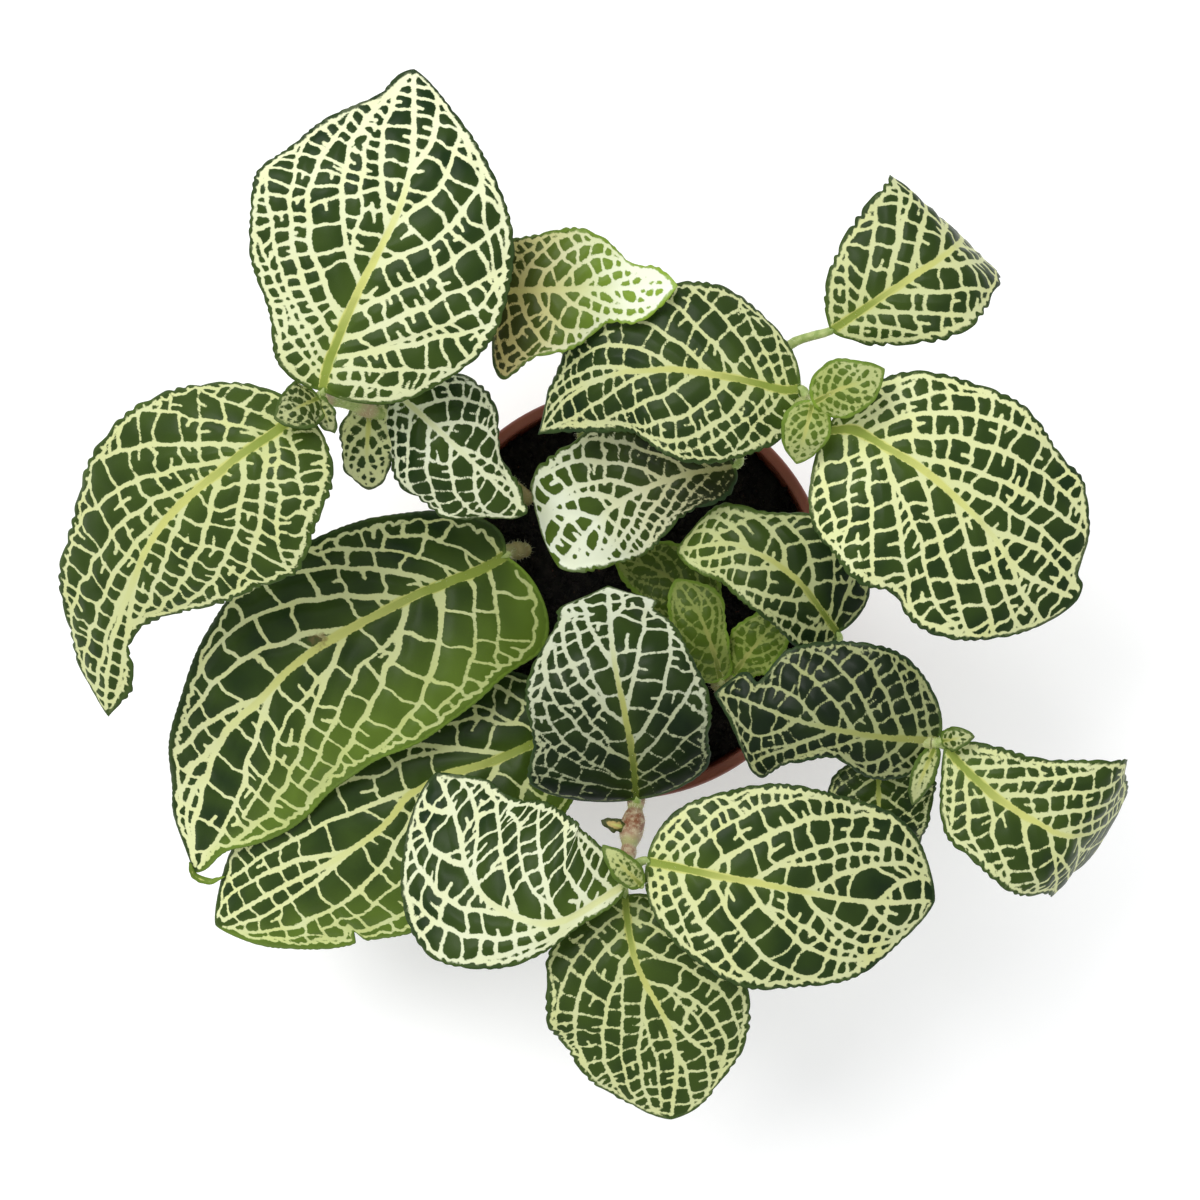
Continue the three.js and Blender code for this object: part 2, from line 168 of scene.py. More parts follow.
shoots = [
    dict(name="shoot_back_left", cork=0.5,
         stem=[(-22, 21, 74), (-30, 27, 88), (-44, 34, 108), (-56, 38.5, 124), (-62, 39, 135)], leaves=[
        dict(rib=[(-61.5, 40.5, 136), (-53, 60.5, 140), (-45.5, 80, 142), (-43, 105, 137)], half=(27, 25),
             on=0.98, widest=(0.45, 0.43), lobe=0.09,
             nudges=[("left", 0.92, 0.1, -4.8), ("left", 0.6, 0.13, 2.8), ("left", 0.18, 0.13, -5.5),
                     ("right", 0.3, 0.3, 3.3), ("right", 0.8, 0.15, -1.8)], young=(0.14, 0.0),
             white=(0.35, 0.5), dim=(0.22, 0.0), cells=0.92,
             midrib=[(0, 0), (0.08, 0.08), (0.25, 0.05), (0.45, 0), (0.65, -0.05), (0.78, -0.08), (1, 0)],
             veinsLeft=[(3, 70, 22), (5, 72, 38), (9, 74, 58), (14, 67, 72), (21, 59, 85), (33, 43, 94),
                        (50, 23, 97)],
             veinsRight=[(3, 50, 11), (6, 52, 21), (10, 55, 36), (15, 45, 52), (24, 40, 62), (39, 45, 74),
                         (52, 38, 84), (68, 35, 93)]),
        dict(rib=[(-66, 37, 136), (-80, 27, 139), (-97.5, 8.5, 129), (-109, -26, 106)], half=(23, 24),
             on=0.98, widest=(0.33, 0.46), fold=(12, -6), teeth=2.3,
             nudges=[("left", 0.73, 0.14, -9.5), ("left", 0.33, 0.09, 3.6), ("right", 0.56, 0.2, -3.2),
                     ("right", 0.93, 0.05, 1.8), ("right", 0.12, 0.12, 1.2)], young=(0.14, 0.1),
             bold=(0.78, 0.78), dim=(0.28, 0.3),
             midrib=[(0, 0), (0.08, 0.1), (0.2, 0.05), (0.4, 0), (0.6, -0.04), (0.8, -0.16), (0.95, -0.2),
                     (1, 0)],
             veinsLeft=[(4, 60, 20), (7, 58, 33), (11, 58, 46), (17, 58, 62), (24, 43, 68), (34, 23, 76),
                        (58, 16, 92)],
             veinsRight=[(5, 50, 15), (9, 50, 28), (14, 48, 43), (19, 42, 58), (27, 42, 80), (40, 32, 92),
                         (57, 22, 96)]),
        dict(rib=[(-48, 41.5, 119), (-38.5, 33, 121), (-29.5, 24.5, 118), (-21, 16.5, 112)],
             half=(17, 15), on=0.78, widest=(0.5, 0.5), fold=(0, 0), curl=(40, 40), teeth=2.0,
             nudges=[("left", 0.72, 0.3, -9.5), ("right", 0.85, 0.12, -2)], young=(0.0, 0.12),
             white=(0.8, 0.5), bold=(0.85, 0.6), dim=(0.35, 0.15), greenRib=0.3, lineGap=6.4),
        dict(rib=[(-53, 41, 118), (-53.5, 34.5, 118), (-54, 28.5, 116), (-54, 21.5, 111)], half=(6, 6),
             on=0.8, widest=(0.5, 0.5), dim=(0.4, 0.4), lineGap=4.0),
        dict(youngBlade, rib=[(-62, 39, 138), (-64.5, 37.5, 142), (-67, 36, 144), (-70.5, 34.5, 143)],
             half=(5, 5), wave=0.6, young=(0.14, 0.14), bold=(0.0, 0.1), dim=(0.7, 0.6)),
        dict(youngBlade, rib=[(-62.5, 39, 137), (-61.3, 36.5, 139), (-60.2, 34.5, 138.5), (-59, 32, 136)],
             half=(2.4, 2.4), wave=0.6, young=(0.12, 0.12), bold=(0.0, 0.1), dim=(0.7, 0.6)),
    ]),
    dict(name="shoot_back", stem=[(-9, 31, 74), (-9.5, 40, 92), (-12.5, 51, 109), (-22, 59.5, 121)], leaves=[
        dict(rib=[(-26, 61.5, 126), (-14, 61.5, 130), (-1.5, 61.5, 132), (10, 62, 133)], half=(12.5, 13),
             on=1, widest=(0.4, 0.4), lobe=0.3, teeth=1.3,
             nudges=[("right", 0.1, 0.15, 9), ("right", 0.62, 0.12, -3.8), ("left", 0.76, 0.1, -2.6)],
             # the brown tint at this blade's base is painted shade, where the leaf above shades it
             young=(0.0, 1.0), white=(0.1, 1.0), bold=(0.95, 1.0), warm=(0.8, -0.6), dim=(0.45, 0.0),
             greenRib=0.15, lineGap=4.6),
    ]),
    dict(name="shoot_back_right",
         stem=[(15, 23, 74), (19, 27, 92), (24, 32, 110), (31, 37, 124), (37, 38.5, 131)], leaves=[
        dict(rib=[(35, 41.5, 129), (16.5, 45, 132), (-2, 45.5, 130), (-18.5, 32.5, 120)], half=(20, 18),
             on=0.97, widest=(0.33, 0.38), fold=(8, -5), teeth=1.5,
             nudges=[("right", 0.93, 0.05, 2.5), ("right", 0.2, 0.15, 1.8), ("left", 0.15, 0.12, -3)],
             bold=(0.85, 0.45), dim=(0.35, 0.42),
             midrib=[(0, 0), (0.06, 0.12), (0.15, 0.07), (0.4, 0.04), (0.53, 0.09), (0.65, 0.05),
                     (0.78, -0.08), (0.88, -0.2), (1, 0)],
             veinsLeft=[(5, 60, 24), (9, 66, 44), (16, 70, 58), (24, 70, 78), (35, 58, 88), (47, 32, 92)],
             veinsRight=[(4, 45, 10), (7, 52, 22), (12, 58, 38), (20, 47, 50), (30, 43, 68), (42, 33, 82),
                         (57, 25, 88), (69, 26, 94)]),
        dict(rib=[(40, 32.5, 131), (56.5, 26.5, 134), (74.5, 12.5, 131), (92, -1.5, 124)], half=(23, 26),
             on=0.97, widest=(0.5, 0.5), teeth=1.4,
             nudges=[("left", 0.955, 0.035, -5), ("left", 0.78, 0.06, 1.4), ("right", 0.5, 0.07, -2.5),
                     ("right", 0.1, 0.12, 4.2), ("right", 0.26, 0.14, 1.6)], dim=(0.1, 0.32),
             midrib=[(0, 0), (0.03, 0.18), (0.08, 0.17), (0.15, 0.08), (0.22, 0.02), (0.4, 0),
                     (0.6, -0.03), (0.7, -0.1), (0.8, -0.15), (1, -0.15)],
             veinsLeft=[(4, 60, 20), (7, 70, 38), (11, 68, 62), (17, 57, 84), (26, 38, 89), (37, 24, 93),
                        (62, 14, 97)],
             veinsRight=[(5, 45, 26), (10, 50, 42), (18, 48, 58), (31, 42, 76), (46, 35, 84),
                         (61, 38, 91), (74, 38, 95)]),
        dict(rib=[(41.5, 53.5, 125), (53, 61.5, 129), (66.3, 70.9, 126.5), (70, 75.5, 105)],
             half=(17, 13), on=0.9, petioleVia=(32.5, 50.0, 121), roundness=0.8, widest=(0.5, 0.5),
             teeth=2.6, nudges=[("right", 0.4, 0.3, 2.4), ("left", 0.64, 0.12, 3.4)], young=(0.12, 0.02),
             dim=(0.35, 0.35), midrib=[(0, 0), (0.5, -0.04), (1, 0)],
             veinsLeft=[(6, 52, 24), (12, 48, 42), (25, 45, 56), (36, 45, 80), (50, 40, 92)],
             veinsRight=[(5, 50, 28), (13, 48, 46), (27, 45, 62), (44, 42, 84), (62, 40, 93)]),
        dict(rib=[(22.5, 26.5, 110), (10, 24, 113), (-3, 18, 108), (-14.5, 5.5, 96)], half=(14, 17),
             on=0.5, widest=(0.45, 0.58), teeth=1.9,
             nudges=[("left", 0.3, 0.25, -4.5), ("left", 0.85, 0.12, -1.5), ("right", 0.85, 0.12, 2.2)],
             # the brown tint at this blade's base is painted shade, where the leaves above shade it
             young=(-0.1, 0.3), white=(0.3, 0.95), bold=(-0.35, 2.05), warm=(0.5, -0.2), dim=(0.75, 0.0),
             greenRib=0.1, lineGap=5.6),
        dict(youngBlade, rib=[(37, 38, 137), (42, 40.5, 141), (46.5, 42, 143), (51, 44.5, 142)],
             half=(6, 6), young=(0.5, 0.4), bold=(0.55, 0.55), dim=(0.55, 0.45), lineGap=2.6),
        dict(youngBlade, rib=[(37, 38.5, 136), (36, 34.5, 139), (35, 30.5, 138), (34, 26, 133)],
             half=(5, 5), young=(0.5, 0.4), bold=(0.55, 0.55), dim=(0.55, 0.45), lineGap=2.6),
    ]),
    dict(name="shoot_front", cork=1.0, sheaths=[0.76],
         stem=[(3, -23, 74), (3, -33, 90), (2, -44, 101), (0.5, -52, 110), (-0.5, -58, 117)], leaves=[
        dict(rib=[(-0.5, -60.5, 116), (-17, -68, 118), (-34, -59, 112), (-40.5, -38, 104)], half=(13, 21),
             on=0.97, widest=(0.55, 0.42),
             nudges=[("left", 0.2, 0.14, -6), ("left", 0.58, 0.12, 4), ("left", 0.75, 0.1, 1.5),
                     ("right", 0.08, 0.08, -3), ("right", 0.55, 0.2, 3.5), ("right", 0.87, 0.08, 1.5)],
             young=(0.14, 0.03), white=(0.6, 0.5), dim=(0.25, 0.2), greenRib=0.3,
             midrib=[(0, 0), (0.3, 0.05), (0.5, 0.02), (0.62, -0.05), (0.75, -0.17), (0.92, -0.2),
                     (1, -0.1)],
             veinsLeft=[(6, 60, 25), (15, 60, 45), (28, 55, 72), (43, 38, 84), (65, 35, 92),
                        (84, 35, 97)],
             veinsRight=[(4, 55, 22), (13, 52, 38), (24, 52, 56), (39, 50, 84), (57, 45, 93)]),
        dict(rib=[(4, -55.5, 117), (23, -59.5, 120), (43, -63, 118), (64, -64, 113)], half=(22, 21),
             on=0.97, widest=(0.5, 0.45), nudges=[("left", 0.87, 0.15, 2.6)], dim=(0.2, 0.45),
             midrib=[(0, 0), (0.5, 0.02), (0.8, -0.04), (1, -0.1)],
             veinsLeft=[(2, 60, 12), (5, 68, 34), (9, 73, 58), (20, 66, 80), (36, 56, 95), (55, 37, 97),
                        (80, 28, 98)],
             veinsRight=[(2, 50, 10), (5, 55, 22), (10, 62, 42), (22, 62, 62), (34, 52, 80), (54, 52, 90),
                         (76, 45, 94)]),
        dict(rib=[(-0.5, -63.5, 107), (1.5, -77, 108), (7, -92, 105), (9.5, -112, 98)], half=(20, 22),
             on=0.9, widest=(0.52, 0.45), teeth=1.9,
             nudges=[("left", 0.87, 0.1, -2), ("right", 0.33, 0.08, -1.5)], young=(0.12, 0.12),
             bold=(0.75, 0.75), dim=(0.35, 0.3), cells=1.1,
             midrib=[(0, 0), (0.15, 0), (0.4, 0.03), (0.58, 0.09), (0.75, 0.13), (1, 0.1)],
             veinsLeft=[(3, 60, 18), (8, 62, 38), (19, 64, 70), (36, 61, 84), (55, 48, 91), (68, 32, 96)],
             veinsRight=[(6, 72, 44), (13, 73, 70), (22, 56, 88), (38, 28, 96)]),
        dict(rib=[(2, -43.5, 104), (-0.5, -27.5, 113), (-3, -12, 114), (-4, 1.5, 100)], half=(20, 18),
             on=0.62, lobe=0.08,
             nudges=[("left", 0.92, 0.06, 4), ("right", 0.92, 0.05, 5), ("left", 0.15, 0.12, 6),
                     ("right", 0.12, 0.1, 4)], young=(0.0, 0.1), white=(0.5, 0.9), bold=(0.2, 1.45),
             dim=(1.0, 0.25), cells=1.35, midrib=[(0, 0), (0.25, -0.03), (0.6, 0), (1, 0)],
             veinsLeft=[(4, 50, 20), (9, 55, 38), (18, 60, 68), (34, 50, 88), (57, 30, 94)],
             veinsRight=[(4, 50, 18), (9, 50, 32), (15, 48, 48), (25, 52, 70), (39, 38, 92),
                         (80, 30, 97)]),
        dict(youngBlade,
             rib=[(3, -60.5, 118.5), (0.2, -57.5, 122), (-2.6, -54.5, 123), (-5.2, -51.8, 121.5)],
             half=(2.9, 2.9), young=(0.3, 0.3), dim=(0.5, 0.5)),
        dict(rib=[(-0.5, -49, 109), (-2, -48.6, 110.5), (-3.5, -48.2, 111), (-5.5, -47.5, 110.5)],
             half=(1.4, 1.4), bud=True, on=0.75, wave=0.5, young=(0.0, 0.0), bold=(9, 9),
             warm=(0.9, 0.9)),
    ]),
    dict(name="shoot_right",
         stem=[(26, -23.5, 74), (34, -26, 92), (46, -29, 107), (56, -30.5, 115), (63, -31, 119)], leaves=[
        dict(rib=[(64.5, -30.5, 119), (50, -29, 121), (33.5, -25.5, 120), (18, -21, 114)], half=(12, 18),
             on=1, fold=(-12, 8),
             nudges=[("left", 0.77, 0.1, 8), ("left", 0.45, 0.12, -5), ("right", 0.82, 0.05, -5),
                     ("right", 0.2, 0.15, 1)], young=(0.0, 0.0), bold=(0.85, 0.3), dim=(0.9, 0.75),
             greenRib=0.6,
             midrib=[(0, 0), (0.25, 0.04), (0.6, 0.05), (0.75, -0.02), (0.9, -0.1), (1, -0.1)],
             veinsLeft=[(6, 60, 22), (15, 60, 40), (28, 60, 60), (45, 60, 80), (62, 38, 95)],
             veinsRight=[(4, 50, 14), (8, 55, 28), (16, 58, 44), (26, 60, 64), (37, 45, 74),
                         (51, 30, 84)]),
        dict(rib=[(65.5, -31.5, 119), (78.5, -40.5, 122), (92.5, -50.5, 119), (99.5, -55.5, 97)],
             half=(18, 17), on=1, roundness=0.8, widest=(0.6, 0.52), teeth=1.5,
             nudges=[("left", 0.28, 0.22, -5), ("left", 0.62, 0.08, 2), ("right", 0.2, 0.12, 3.8),
                     ("right", 0.7, 0.08, -2.5)], young=(0.12, 0.05), bold=(0.8, 0.75), dim=(0.3, 0.3),
             midrib=[(0, -0.1), (0.1, -0.18), (0.3, -0.17), (0.45, -0.13), (0.56, -0.03), (0.7, 0.25),
                     (0.8, 0.5), (0.87, 0.75)],
             veinsLeft=[(5, 45, 20), (10, 45, 32), (16, 45, 50), (24, 42, 66), (38, 38, 76),
                        (50, 38, 84)],
             veinsRight=[(5, 62, 20), (12, 62, 34), (21, 62, 48), (37, 58, 62), (47, 48, 74),
                         (60, 30, 90)]),
        dict(rib=[(53, -35, 105), (53, -43.5, 105), (54, -52.5, 102), (55.5, -61.5, 96)], half=(10, 10),
             on=0.8, widest=(0.45, 0.45), nudges=[("left", 0.2, 0.2, 4), ("right", 0.15, 0.2, 3)],
             young=(0.05, 0.05), bold=(0.3, 0.3), dim=(0.45, 0.4), lineGap=4.6),
        dict(youngBlade, rib=[(64.5, -30.5, 121), (66.5, -30, 124), (68.5, -29.5, 125), (71, -29.5, 124)],
             half=(2.5, 2.5), young=(0.16, 0.16), dim=(0.6, 0.5)),
        dict(youngBlade, rib=[(63.5, -31.5, 119), (61.5, -35.5, 121), (60, -39.5, 120), (59, -44, 116)],
             half=(2.5, 2.5), young=(0.16, 0.16), dim=(0.6, 0.5)),
    ]),
    dict(name="shoot_left", stem=[(-22.5, 9.5, 74), (-25.5, 9, 79), (-30, 7.5, 84)], leaves=[
        dict(rib=[(-26, 8, 91), (-50.5, -2.5, 98), (-78.4, -22, 91.7), (-96, -62.2, 65.5)], half=(27, 21),
             on=1, curl=(20, 25), widest=(0.43, 0.43), lobe=0.17, teeth=0.5,
             nudges=[("left", 0.1, 0.1, 4.2), ("left", 0.35, 0.15, 3), ("left", 0.93, 0.08, -5),
                     ("right", 0.62, 0.12, -2.4), ("right", 0.92, 0.06, 2.2)], young=(0.06, 0.06),
             youngLeft=0.38, bold=(0.72, 0.95), dim=(0.5, 0.05), cells=1.45, spurs=0.12, fringe=False,
             midrib=[(0, 0), (0.08, 0.05), (0.3, 0.02), (0.54, 0.02), (0.62, -0.1), (0.7, -0.25),
                     (0.8, -0.3), (0.93, -0.4), (1, 0)],
             veinsLeft=[(4, 62, 20), (8, 72, 34), (14, 69, 48), (21, 68, 70), (34, 55, 88), (51, 21, 97)],
             veinsRight=[(4, 62, 22), (9, 60, 34), (14, 62, 46), (21, 54, 61), (33, 40, 71), (56, 45, 77),
                         (69, 57, 88), (78, 57, 96)]),
        dict(rib=[(-97, -59.7, 67.8), (-96.1, -62.9, 65.4), (-92.8, -64.3, 64.8), (-89.2, -63.1, 65.8)],
             half=(0.7, 0.7), bud=True, petiole=False, wave=0.0, young=(0.3, 0.6), bold=(-2, -2),
             dim=(0.2, 0.0)),
    ]),
    dict(name="shoot_front_left", stem=[(-4, -20, 74), (-5.5, -23, 79), (-8, -26, 83)], leaves=[
        dict(rib=[(-9.5, -27.5, 85), (-32.5, -38, 87), (-59.6, -55.1, 81.2), (-91.8, -74.3, 62.2)],
             half=(24, 26), on=1, widest=(0.45, 0.45), fold=(8, 2), teeth=0.6,
             nudges=[("left", 0.7, 0.008, -2.7)], young=(0.05, 0.1), youngLeft=0.3, bold=(0.75, 0.65),
             dim=(0.45, 0.1), cells=1.4, spurs=0.12, fringe=False,
             midrib=[(0, 0), (0.2, 0.02), (0.38, -0.12), (0.5, 0), (0.65, 0.03), (0.8, 0), (1, -0.1)],
             veinsLeft=[(5, 65, 25), (10, 75, 50), (20, 72, 80), (36, 44, 95), (60, 20, 97)],
             veinsRight=[(4, 60, 18), (9, 62, 34), (18, 52, 60), (39, 33, 92), (60, 22, 96)]),
    ]),
    # the low middle leaves lie under the others: their darkening is painted shade as well as dull colour
    dict(name="shoot_middle", stem=[(20.5, -20, 74), (20.5, -19.5, 78), (20.5, -19, 82)], leaves=[
        dict(rib=[(20.5, -19, 86), (18.5, -12, 91), (15.5, -4.5, 93), (10.5, 3, 92)], half=(8, 8), on=1,
             widest=(0.45, 0.45), nudges=[("right", 0.35, 0.25, -4)], young=(0.55, 0.55),
             white=(0.0, 0.0), bold=(0.4, 0.4), dim=(0.75, 0.7), lineGap=4.4),
        dict(rib=[(16, -10, 82), (14, -1.5, 84), (7.5, 4.5, 84), (-2.5, 8, 82)], half=(8, 8), on=0.6,
             widest=(0.45, 0.45), young=(0.5, 0.5), white=(0.0, 0.0), bold=(0.2, 0.2), dim=(0.9, 0.85),
             lineGap=4.4),
        dict(rib=[(23, -18, 85), (26, -13.5, 89), (30, -8.5, 91), (34.5, -3, 91)], half=(6, 6), on=1,
             widest=(0.45, 0.45), young=(0.6, 0.5), white=(0.0, 0.0), bold=(0.4, 0.4), dim=(0.7, 0.6),
             lineGap=4.0),
    ]),
    dict(name="shoot_middle_right", stem=[(31, -15.5, 74), (35.5, -14, 86), (41, -11.5, 96)], leaves=[
        dict(rib=[(44.5, -8.5, 103), (35, 3.5, 108), (23.5, 10.5, 108), (10.5, 9, 102)], half=(11, 14),
             on=1, widest=(0.45, 0.45), lobe=0.22,
             nudges=[("right", 0.65, 0.14, -4.8), ("right", 0.14, 0.14, 4.2)], young=(-0.1, 0.3),
             bold=(0.9, 1.05), dim=(0.85, 0.2), cells=1.15,
             midrib=[(0, 0), (0.4, 0.02), (0.6, 0.08), (0.72, 0.04), (1, -0.1)],
             veinsLeft=[(4, 62, 42), (21, 54, 60), (43, 48, 82), (60, 35, 92)],
             veinsRight=[(4, 50, 20), (8, 50, 42), (23, 45, 58), (41, 42, 68), (62, 45, 84),
                         (75, 40, 94)]),
    ]),
]
for shoot in shoots:
    shoot["leaves"] = [{**usualBlade, **leaf} for leaf in shoot["leaves"]]


# The form of a blade, by the same rules as the CAD solids

def curveThrough(points, count):
    # a smooth path through the points, at even steps of its length
    knots = np.array(points, float)
    knots = np.vstack([2 * knots[0] - knots[1], knots, 2 * knots[-1] - knots[-2]])
    t = np.linspace(0, 1, 60, endpoint=False)[:, None]
    pieces = []
    for a, b, c, d in zip(knots, knots[1:], knots[2:], knots[3:]):
        bend = (2 * a - 5 * b + 4 * c - d) * t ** 2 + (3 * b - a - 3 * c + d) * t ** 3
        pieces.append(0.5 * (2 * b + (c - a) * t + bend))
    return evenSteps(np.vstack(pieces + [knots[-2:-1]]), count)


def evenSteps(line, count):
    run = runOf(line)
    places = np.linspace(0, run[-1], count)
    return np.column_stack([np.interp(places, run, line[:, k]) for k in range(line.shape[1])])


def lengthOf(line):
    return float(np.linalg.norm(np.diff(line, axis=0), axis=1).sum())


def ribFrame(leaf):
    # the rib as a line, with the directions along it, to its left and up from it
    line = curveThrough(leaf["rib"], 400)
    along = unit(np.gradient(line, axis=0))
    chord = unit((line[-1] - line[0])[:2])
    heading = unit(unit(along[:, :2]) * (1 - leaf["straighten"]) + chord * leaf["straighten"])
    side = np.column_stack([-heading[:, 1], heading[:, 0], np.zeros(len(line))])
    up = unit(np.cross(along, side))
    return {"line": line, "along": along, "side": side, "up": up, "length": lengthOf(line)}


def atShare(rows, share):
    place = np.clip(share, 0, 1) * (len(rows) - 1)
    low = np.minimum(place.astype(int), len(rows) - 2)
    part = (place - low)[..., None]
    return rows[low] * (1 - part) + rows[low + 1] * part


def halfWidth(share, roundness, widest):
    pointed = roundness * (1 - widest) / widest
    most = widest ** roundness * (1 - widest) ** pointed
    return np.clip(share, 0, 1) ** roundness * np.clip(1 - share, 0, 1) ** pointed / most


def bladeHalf(leaf, share, onLeft):
    # the plain outline from 0 to 1, and the half width in mm with the leaf's own bumps and hollows
    outline = np.where(onLeft, *[halfWidth(share, leaf["roundness"], widest) for widest in leaf["widest"]])
    half = outline * np.where(onLeft, *leaf["half"])
    for side, at, spread, out in leaf["nudges"]:
        here = np.where(np.equal(onLeft, side == "left"), out, 0.0)
        fade = np.minimum(1, outline / 0.4)
        half = half + here * fade * np.exp(-((share - at) / spread) ** 2)
    return outline, np.maximum(half, 0.02)


def bladePoint(leaf, rib, share, across, extra):
    # the point and the upward normal at a share of the length and of the half width; extra widens the half
    onLeft = across >= 0
    out = np.abs(across)
    outline, half = bladeHalf(leaf, share, onLeft)
    half = half + extra
    fold, curl = (np.radians(np.where(onLeft, *leaf[key])) for key in ("fold", "curl"))
    angle = fold - curl * out
    sideways = half * (np.sin(fold) - np.sin(angle)) / curl
    upwards = half * (np.cos(angle) - np.cos(fold)) / curl
    sign = np.where(onLeft, 1.0, -1.0)
    line, side, up, along = (atShare(rib[key], share) for key in ("line", "side", "up", "along"))
    normal = side * (-sign * np.sin(angle))[..., None] + up * np.cos(angle)[..., None]
    phase = np.where(onLeft, 0, 2.1)
    ripple = leaf["wave"] * out ** 3 * outline * np.sin(fullTurn * leaf["waves"] * share + phase)
    lobe = leaf["lobe"] * rib["length"] * outline * out ** 2 * (1 - share) ** 3
    point = line + side * (sign * sideways)[..., None] + up * upwards[..., None]
    return point + normal * ripple[..., None] - along * lobe[..., None], normal


def flatPlace(leaf, rib, share, across):
    # where a place of the blade lies when it is pressed flat, in mm along and across the rib
    outline, half = bladeHalf(leaf, share, across >= 0)
    lobe = leaf["lobe"] * rib["length"] * outline * across ** 2 * (1 - share) ** 3
    return np.stack([share * rib["length"] - lobe, half * across], -1)


def marginLine(leaf, rib, shares, sign):
    return flatPlace(leaf, rib, shares, np.full(len(shares), float(sign)))


# The net of veins, drawn on the flat blade

net = {
    "usualLength": 65.0,         # veins are this broad on a blade of this length
    "ribWidth": (1.75, 0.8),     # the midrib at its base and its tip
    "lineWidth": (1.05, 0.66),   # the side veins where they leave the midrib and at their ends
    "basalWidth": (0.6, 0.56), "basalBelow": 0.1,
    "forkWidth": (0.66, 0.58),
    "rungWidth": 0.58, "rungStep": (2.1, 4.6), "rungPerWidth": 0.68, "rungApart": 1.2, "bend": 0.05,
    "firstRung": (0.4, 0.9), "rungSpread": (0.78, 1.22), "rungUneven": (0.88, 1.18), "rungTaper": (0.85, 1.1),
    "lean": 0.2, "leanKept": 0.5, "leanDrift": 0.15,    # cross veins lean, and each much like the one before
    "spurWidth": 0.56, "spurRoom": 2.7, "spurCell": 12, "spurReach": (0.32, 0.5), "spurTurn": 0.15,
    "spurUneven": (0.9, 1.15), "spurTaper": (1.15, 0.92),
    "fringeWidth": 0.46, "fringeTaper": 0.75, "fringeStep": 1.9, "fringeSpread": (0.75, 1.3),
    "fringeGap": 0.6, "fringeLean": 0.35, "fringeDrift": 0.3,
    "widestStrip": 7.4,          # a wider space between side veins has a forked vein down its middle
    "narrowestStrip": 1.25,      # a narrower one has no cross veins
    "edgeGap": 1.8,              # the loop that joins the side veins runs this far inside the margin
    "edgeDip": 0.55, "dipLength": 0.95, "dipDrift": 4.3,    # and bulges out by this much between them
    "ends": (0.012, 0.985), "tailEnd": 0.98,    # shares of the length where the net begins and ends
    "veinsFrom": (0.03, 0.8), "fringeFrom": (0.03, 0.96),
    "forkCloses": (0.55, 0.6), "forkHeld": 0.35,    # shares of the widest strip, and how it leaves the line
    "step": 0.3, "inset": 0.4,   # mm, between the points of a line, and of a vein's end inside another
    "wander": 0.18, "wanderLength": 7.5, "calm": (0.8, 4.0),    # by the distance to the midrib's line
    "ragged": 0.05, "raggedLength": 1.5, "boldStep": 0.3,
}


def wavesField(rng, wavelength, count=7):
    # a soft random field of about unit height, from plane waves
    waves = [(rng.uniform(0, roundTurn), rng.uniform(0, roundTurn), wavelength * rng.uniform(0.7, 1.5))
             for _ in range(count)]

    def field(places):
        total = 0
        for turn, phase, length in waves:
            run = places[..., 0] * math.cos(turn) + places[..., 1] * math.sin(turn)
            total = total + np.sin(run * roundTurn / length + phase)
        return total / math.sqrt(count / 2)
    return field


def sideVeins(leaf, sign, length, rng):
    # where each side vein leaves the midrib, how far out it is half way, and where it meets the margin
    told = leaf["veinsLeft"] if sign > 0 else leaf["veinsRight"]
    if told:
        return [(start / 100, out / 100, end / 100) for start, out, end in sorted(told)]
    arch = leaf["arch"][0 if sign > 0 else 1]
    step = leaf["lineGap"] / length
    veins = []
    start, last = net["veinsFrom"]
    while start < last:
        end = min(start + arch * (0.35 + 1.25 * start) + 0.04, 0.93 + 0.05 * start)
        veins.append((start, 0.66 - 0.3 * start + rng.uniform(-0.02, 0.02), end))
        start += step * (0.5 + 1.1 * start ** 0.6) * rng.uniform(0.9, 1.1)
    return veins


